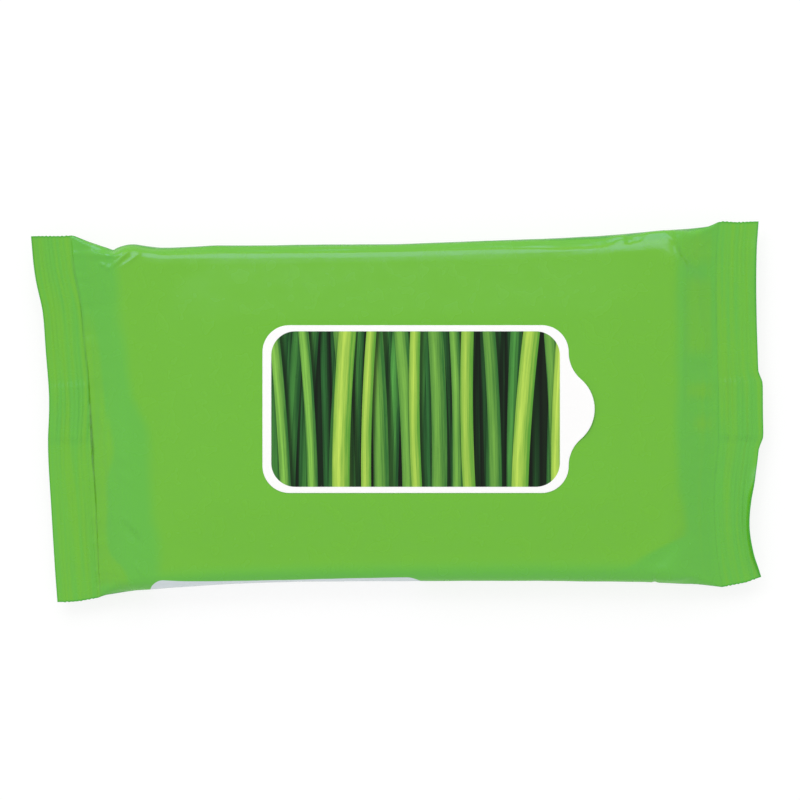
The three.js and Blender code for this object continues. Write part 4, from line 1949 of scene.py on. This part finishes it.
@dataclass(frozen=True)
class Gloss:
    """How a surface shines, and how its ripples and its grain, in millimetres, break that up."""

    shine: float
    smoothest: float
    roughest: float
    ripple_range: Point
    ripple_size: float
    grain_size: float
    grain_share: float
    bump: float

    def lay_on(self, board: Board, surface: Node, skin: Tree, position: Socket) -> None:
        """Gives a surface its shine, its roughness and its fine bumps.

        Args:
            board: The board of its material.
            surface: Its surface shader.
            skin: The group of ripples and grain.
            position: The place on the piece, in millimetres.
        """
        uneven = board.group(
            skin,
            Position=position,
            Ripple_size=self.ripple_size,
            Grain_size=self.grain_size,
            Grain_share=self.grain_share,
        )
        rough = board.ease(uneven.outputs["Ripple"], *self.ripple_range, self.smoothest, self.roughest)
        given = {"Strength": self.bump, "Distance": MM, "Height": uneven.outputs["Height"]}
        bump = board.fill(board.add("ShaderNodeBump"), given)
        given = {"Specular IOR Level": self.shine, "Roughness": rough, "Normal": bump.outputs[0]}
        board.fill(surface, given)


@dataclass(frozen=True)
class FilmFinish:
    """Glossy green film with a white panel: warmer where the wipes hold it, cooler where it stands free."""

    effects: Effects
    held: Colour = (0.158, 0.492, 0.0095, 1.0)
    free: Colour = (0.127, 0.486, 0.028, 1.0)
    # The next two colours are painted: shade down the sides and at the cut ends, and shadow in the creases
    # beside the seals.
    edge_shade: Colour = (0.06, 0.37, 0.004, 1.0)
    crease_shadow: Colour = (0.12, 0.34, 0.034, 1.0)
    panel: Colour = (0.662, 0.728, 0.717, 1.0)
    panel_start: float = -52.5
    panel_stop: float = 5.5
    panel_top: float = -34.53
    panel_width: float = 31.5
    panel_corner: float = 3.5
    panel_softness: float = 0.06
    panel_bend: float = -22.0
    panel_rise: float = 0.00207
    panel_slope: float = 0.021
    tint: Colour = (0.42, 0.42, 1.0, 1.0)
    gloss: Gloss = Gloss(
        shine=0.65,
        smoothest=0.19,
        roughest=0.3,
        ripple_range=(0.25, 0.75),
        ripple_size=3.2,
        grain_size=0.35,
        grain_share=0.12,
        bump=0.05,
    )

    def material(self) -> bpy.types.Material:
        """Makes the film's material.

        Returns:
            The material.
        """
        material, board, surface = new_material("green_film")
        web = board.add("ShaderNodeUVMap", uv_map="film_web").outputs[0]
        in_space = board.placed(board.add("ShaderNodeTexCoord").outputs["Object"], TO_MM)
        green = board.mix(board.mark("film_hold"), self.free, self.held)
        # Painted shade down the sides and at the cut ends, then painted shadow in the creases beside the
        # seals.
        green = board.mix(board.mark("film_depth"), green, self.edge_shade)
        green = board.mix(board.mark("film_wear"), green, self.crease_shadow)
        panel = self._panel(board, board.placed(web, (1 / MM, 1 / MM, 1.0)))
        board.fill(surface, {"Base Color": board.mix(panel, green, self.panel), "Specular Tint": self.tint})
        self.gloss.lay_on(board, surface, self.effects.skin, in_space)
        return material

    def _panel(self, board: Board, position: Socket) -> Socket:
        """Gives where the white panel is printed, from 0 to 1. Its edge rises on both sides of a bend.

        Args:
            board: The board of the material.
            position: The place on the web, in millimetres.

        Returns:
            The share of the panel.
        """
        x, y = board.split(position)
        before = board.math("MAXIMUM", board.math("SUBTRACT", self.panel_bend, x), 0.0)
        after = board.math("MAXIMUM", board.math("SUBTRACT", x, self.panel_bend), 0.0)
        rise = board.math("MULTIPLY", board.math("MULTIPLY", before, before), self.panel_rise)
        rise = board.math("MULTIPLY_ADD", after, self.panel_slope, rise)
        panel = board.group(
            self.effects.field,
            Position=board.join(x, board.math("SUBTRACT", y, rise)),
            Centre=((self.panel_start + self.panel_stop) / 2, self.panel_top - self.panel_width / 2, 0.0),
            Half=((self.panel_stop - self.panel_start) / 2, self.panel_width / 2, 1.0),
            Radius=self.panel_corner,
            Softness=self.panel_softness,
        )
        return panel.outputs["Share"]


@dataclass(frozen=True)
class BladeRow:
    """One printed row of grass blades: how far apart and thick they are, how they lean, and their greens."""

    pitch: float
    thickness: Point
    lean: float
    bend: float
    gaps: float
    start: float
    dark: Colour
    light: Colour


@dataclass(frozen=True)
class LabelFinish:
    """White coated paper, printed with a field of grass inside a plain border."""

    effects: Effects
    paper: Colour = (0.965, 0.96, 0.955, 1.0)
    picture_half: Point = (29.5, 15.9)
    picture_corner: float = 4.9
    picture_softness: float = 0.05
    ground: Colour = (0.004, 0.014, 0.004, 1.0)
    gloss: Gloss = Gloss(
        shine=0.15,
        smoothest=0.27,
        roughest=0.34,
        ripple_range=(0.3, 0.7),
        ripple_size=5.0,
        grain_size=0.25,
        grain_share=0.1,
        bump=0.03,
    )
    rows: tuple[BladeRow, ...] = (
        BladeRow(2.7, (0.3, 0.48), -0.02, 0.0, 0.0, 3.0, (0.003, 0.02, 0.005, 1.0), (0.03, 0.16, 0.035, 1.0)),
        BladeRow(
            4.1, (0.24, 0.42), 0.035, 0.0009, 0.15, 17.4, (0.01, 0.07, 0.016, 1.0), (0.09, 0.35, 0.06, 1.0)
        ),
        BladeRow(
            6.1, (0.16, 0.3), -0.05, -0.0012, 0.25, 31.7, (0.03, 0.15, 0.028, 1.0), (0.25, 0.56, 0.08, 1.0)
        ),
        BladeRow(9.4, (0.1, 0.2), 0.02, 0.0014, 0.25, 52.2, (0.1, 0.33, 0.035, 1.0), (0.55, 0.76, 0.11, 1.0)),
    )

    def _blades(self, board: Board, position: Socket) -> Socket:
        """Prints the rows of blades, the darkest first.

        Args:
            board: The board of the material.
            position: The place on the label, in millimetres.

        Returns:
            The printed colour.
        """
        colour = self.ground
        for row in self.rows:
            blades = board.group(
                self.effects.blade,
                Position=position,
                Base=colour,
                Dark=row.dark,
                Light=row.light,
                Pitch=row.pitch,
                Lean=row.lean,
                Bend=row.bend,
                Thin=row.thickness[0],
                Thick=row.thickness[1],
                Gaps=row.gaps,
                Start=row.start,
            )
            colour = blades.outputs["Colour"]
        return colour

    def material(self, label: ResealLabel, pouch: FilmPouch) -> bpy.types.Material:
        """Makes the label's material.

        Args:
            label: The label.
            pouch: The pouch that it is stuck to.

        Returns:
            The material.
        """
        material, board, surface = new_material("white_label")
        place = board.add("ShaderNodeTexCoord").outputs["Object"]
        centre_x, centre_y = label.centre[0] + pouch.shift[0], label.centre[1] + pouch.shift[1]
        on_label = board.placed(place, TO_MM, (-centre_x, -centre_y, 0.0))
        picture = board.group(
            self.effects.field,
            Position=on_label,
            Centre=(0.0, 0.0, 0.0),
            Half=(*self.picture_half, 1.0),
            Radius=self.picture_corner,
            Softness=self.picture_softness,
        )
        colour = board.mix(picture.outputs["Share"], self.paper, self._blades(board, on_label))
        board.fill(surface, {"Base Color": colour})
        self.gloss.lay_on(board, surface, self.effects.skin, on_label)
        return material


@dataclass(frozen=True)
class Softbox:
    """A lamp that looks at the pack from a direction, with its width, height and distance in metres."""

    name: str
    direction: Point3
    size: Point
    power: float
    distance: float = 1.9
    mirrored: bool = True


@dataclass
class Studio:
    """A pale table, a white background, soft lamps and the camera overhead. Lengths are in metres."""

    table_width: float = 8.0
    table_colour: Colour = (0.9, 0.9, 0.9, 1.0)
    table_glow: float = 0.82
    table_shade: float = 0.22
    table_roughness: float = 0.9
    fill_level: float = 0.65
    softboxes: tuple[Softbox, ...] = (
        Softbox("high_side", (-0.12, 1.0, 0.95), (1.17, 1.32), 13.3),
        Softbox("high_left", (-0.62, 0.75, 1.3), (0.51, 0.73), 3.6),
        Softbox("far_left", (-0.74, 0.37, 0.56), (0.25, 1.4), 2.9),
        Softbox("low_fill", (0.45, -1.0, 0.16), (1.2, 0.5), 7.9, mirrored=False),
    )
    lens: float = 200.0
    sensor: float = 36.0
    pixels: int = 800
    pixels_per_mm: float = 4.873
    focus_height: float = 0.0065
    aim: Point = (0.718, 2.257)
    shift: Point = (0.0, 0.0)

    def build(self) -> None:
        """Sets up the table, the background, the lamps and the camera."""
        self._background()
        self._table()
        for softbox in self.softboxes:
            self._lamp(softbox)
        self._camera()
        bpy.context.scene.view_settings.view_transform = "Standard"
        LOG.info("studio: %d lamps", len(self.softboxes))

    def _background(self) -> None:
        """Makes the world white to look at, and a softer light for what it shines on."""
        world = bpy.data.worlds.new("studio_white")
        bpy.context.scene.world = world
        world.use_nodes = True
        world.node_tree.nodes.clear()
        board = Board(world.node_tree)
        rays = board.add("ShaderNodeLightPath")
        seen = board.math("MAXIMUM", rays.outputs["Is Camera Ray"], rays.outputs["Is Glossy Ray"])
        seen = board.math("MAXIMUM", seen, rays.outputs["Is Transmission Ray"])
        level = board.math("MULTIPLY_ADD", seen, 1 - self.fill_level, self.fill_level)
        light = board.fill(board.add("ShaderNodeBackground"), {"Color": WHITE, "Strength": level})
        output = board.add("ShaderNodeOutputWorld")
        board.tree.links.new(light.outputs[0], output.inputs["Surface"])

    def _table(self) -> None:
        """Adds the table top, which shows white and keeps the shadow of the pack."""
        bpy.ops.object.select_all(action="DESELECT")
        bpy.ops.mesh.primitive_plane_add(size=self.table_width)
        table = bpy.context.object
        table.name = "table_top"
        material, board, surface = new_material("table_top")
        seen = board.add("ShaderNodeLightPath").outputs["Is Camera Ray"]
        shown = (*(self.table_shade * part for part in self.table_colour[:3]), 1.0)
        given = {
            "Base Color": board.mix(seen, self.table_colour, shown),
            "Roughness": self.table_roughness,
            "Specular IOR Level": 0.0,
            "Emission Color": WHITE,
            "Emission Strength": board.math("MULTIPLY", seen, self.table_glow),
        }
        board.fill(surface, given)
        table.data.materials.append(material)

    def _lamp(self, softbox: Softbox) -> None:
        """Hangs one softbox, turned to the pack.

        Args:
            softbox: The lamp.
        """
        data = bpy.data.lights.new(softbox.name, "AREA")
        data.shape = "RECTANGLE"
        data.size, data.size_y = softbox.size
        data.energy = softbox.power
        lamp = bpy.data.objects.new(softbox.name, data)
        direction = Vector(softbox.direction).normalized()
        lamp.location = direction * softbox.distance
        lamp.rotation_euler = direction.to_track_quat("Z", "Y").to_euler()
        lamp.visible_glossy = softbox.mirrored
        bpy.context.scene.collection.objects.link(lamp)

    def _camera(self) -> None:
        """Hangs the camera straight over the pack."""
        data = bpy.data.cameras.new("overhead")
        data.lens = self.lens
        data.sensor_width = self.sensor
        width = self.pixels / self.pixels_per_mm * MM
        distance = width * self.lens / self.sensor
        data.clip_start = distance / 10
        data.clip_end = distance * 10
        camera = bpy.data.objects.new("overhead", data)
        aim_x, aim_y = ((aim + shift) * MM for aim, shift in zip(self.aim, self.shift))
        camera.location = (aim_x, aim_y, distance + self.focus_height)
        bpy.context.scene.collection.objects.link(camera)
        bpy.context.scene.camera = camera


def main() -> None:
    """Builds the pack and its studio."""
    logging.basicConfig(level=logging.INFO, format="%(message)s")
    effects = Effects(rounded_field_group(), skin_group(), BladePrint().group())
    label = ResealLabel()
    low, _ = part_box(label.node)
    shift = (
        low.x / MM - (label.centre[0] - label.length / 2),
        low.y / MM - (label.centre[1] - label.width / 2),
    )
    pouch = FilmPouch(shift=shift)
    pouch.build(FilmFinish(effects))
    label.build(pouch, LabelFinish(effects))
    Studio(shift=shift).build()


if __name__ == "__main__":
    main()
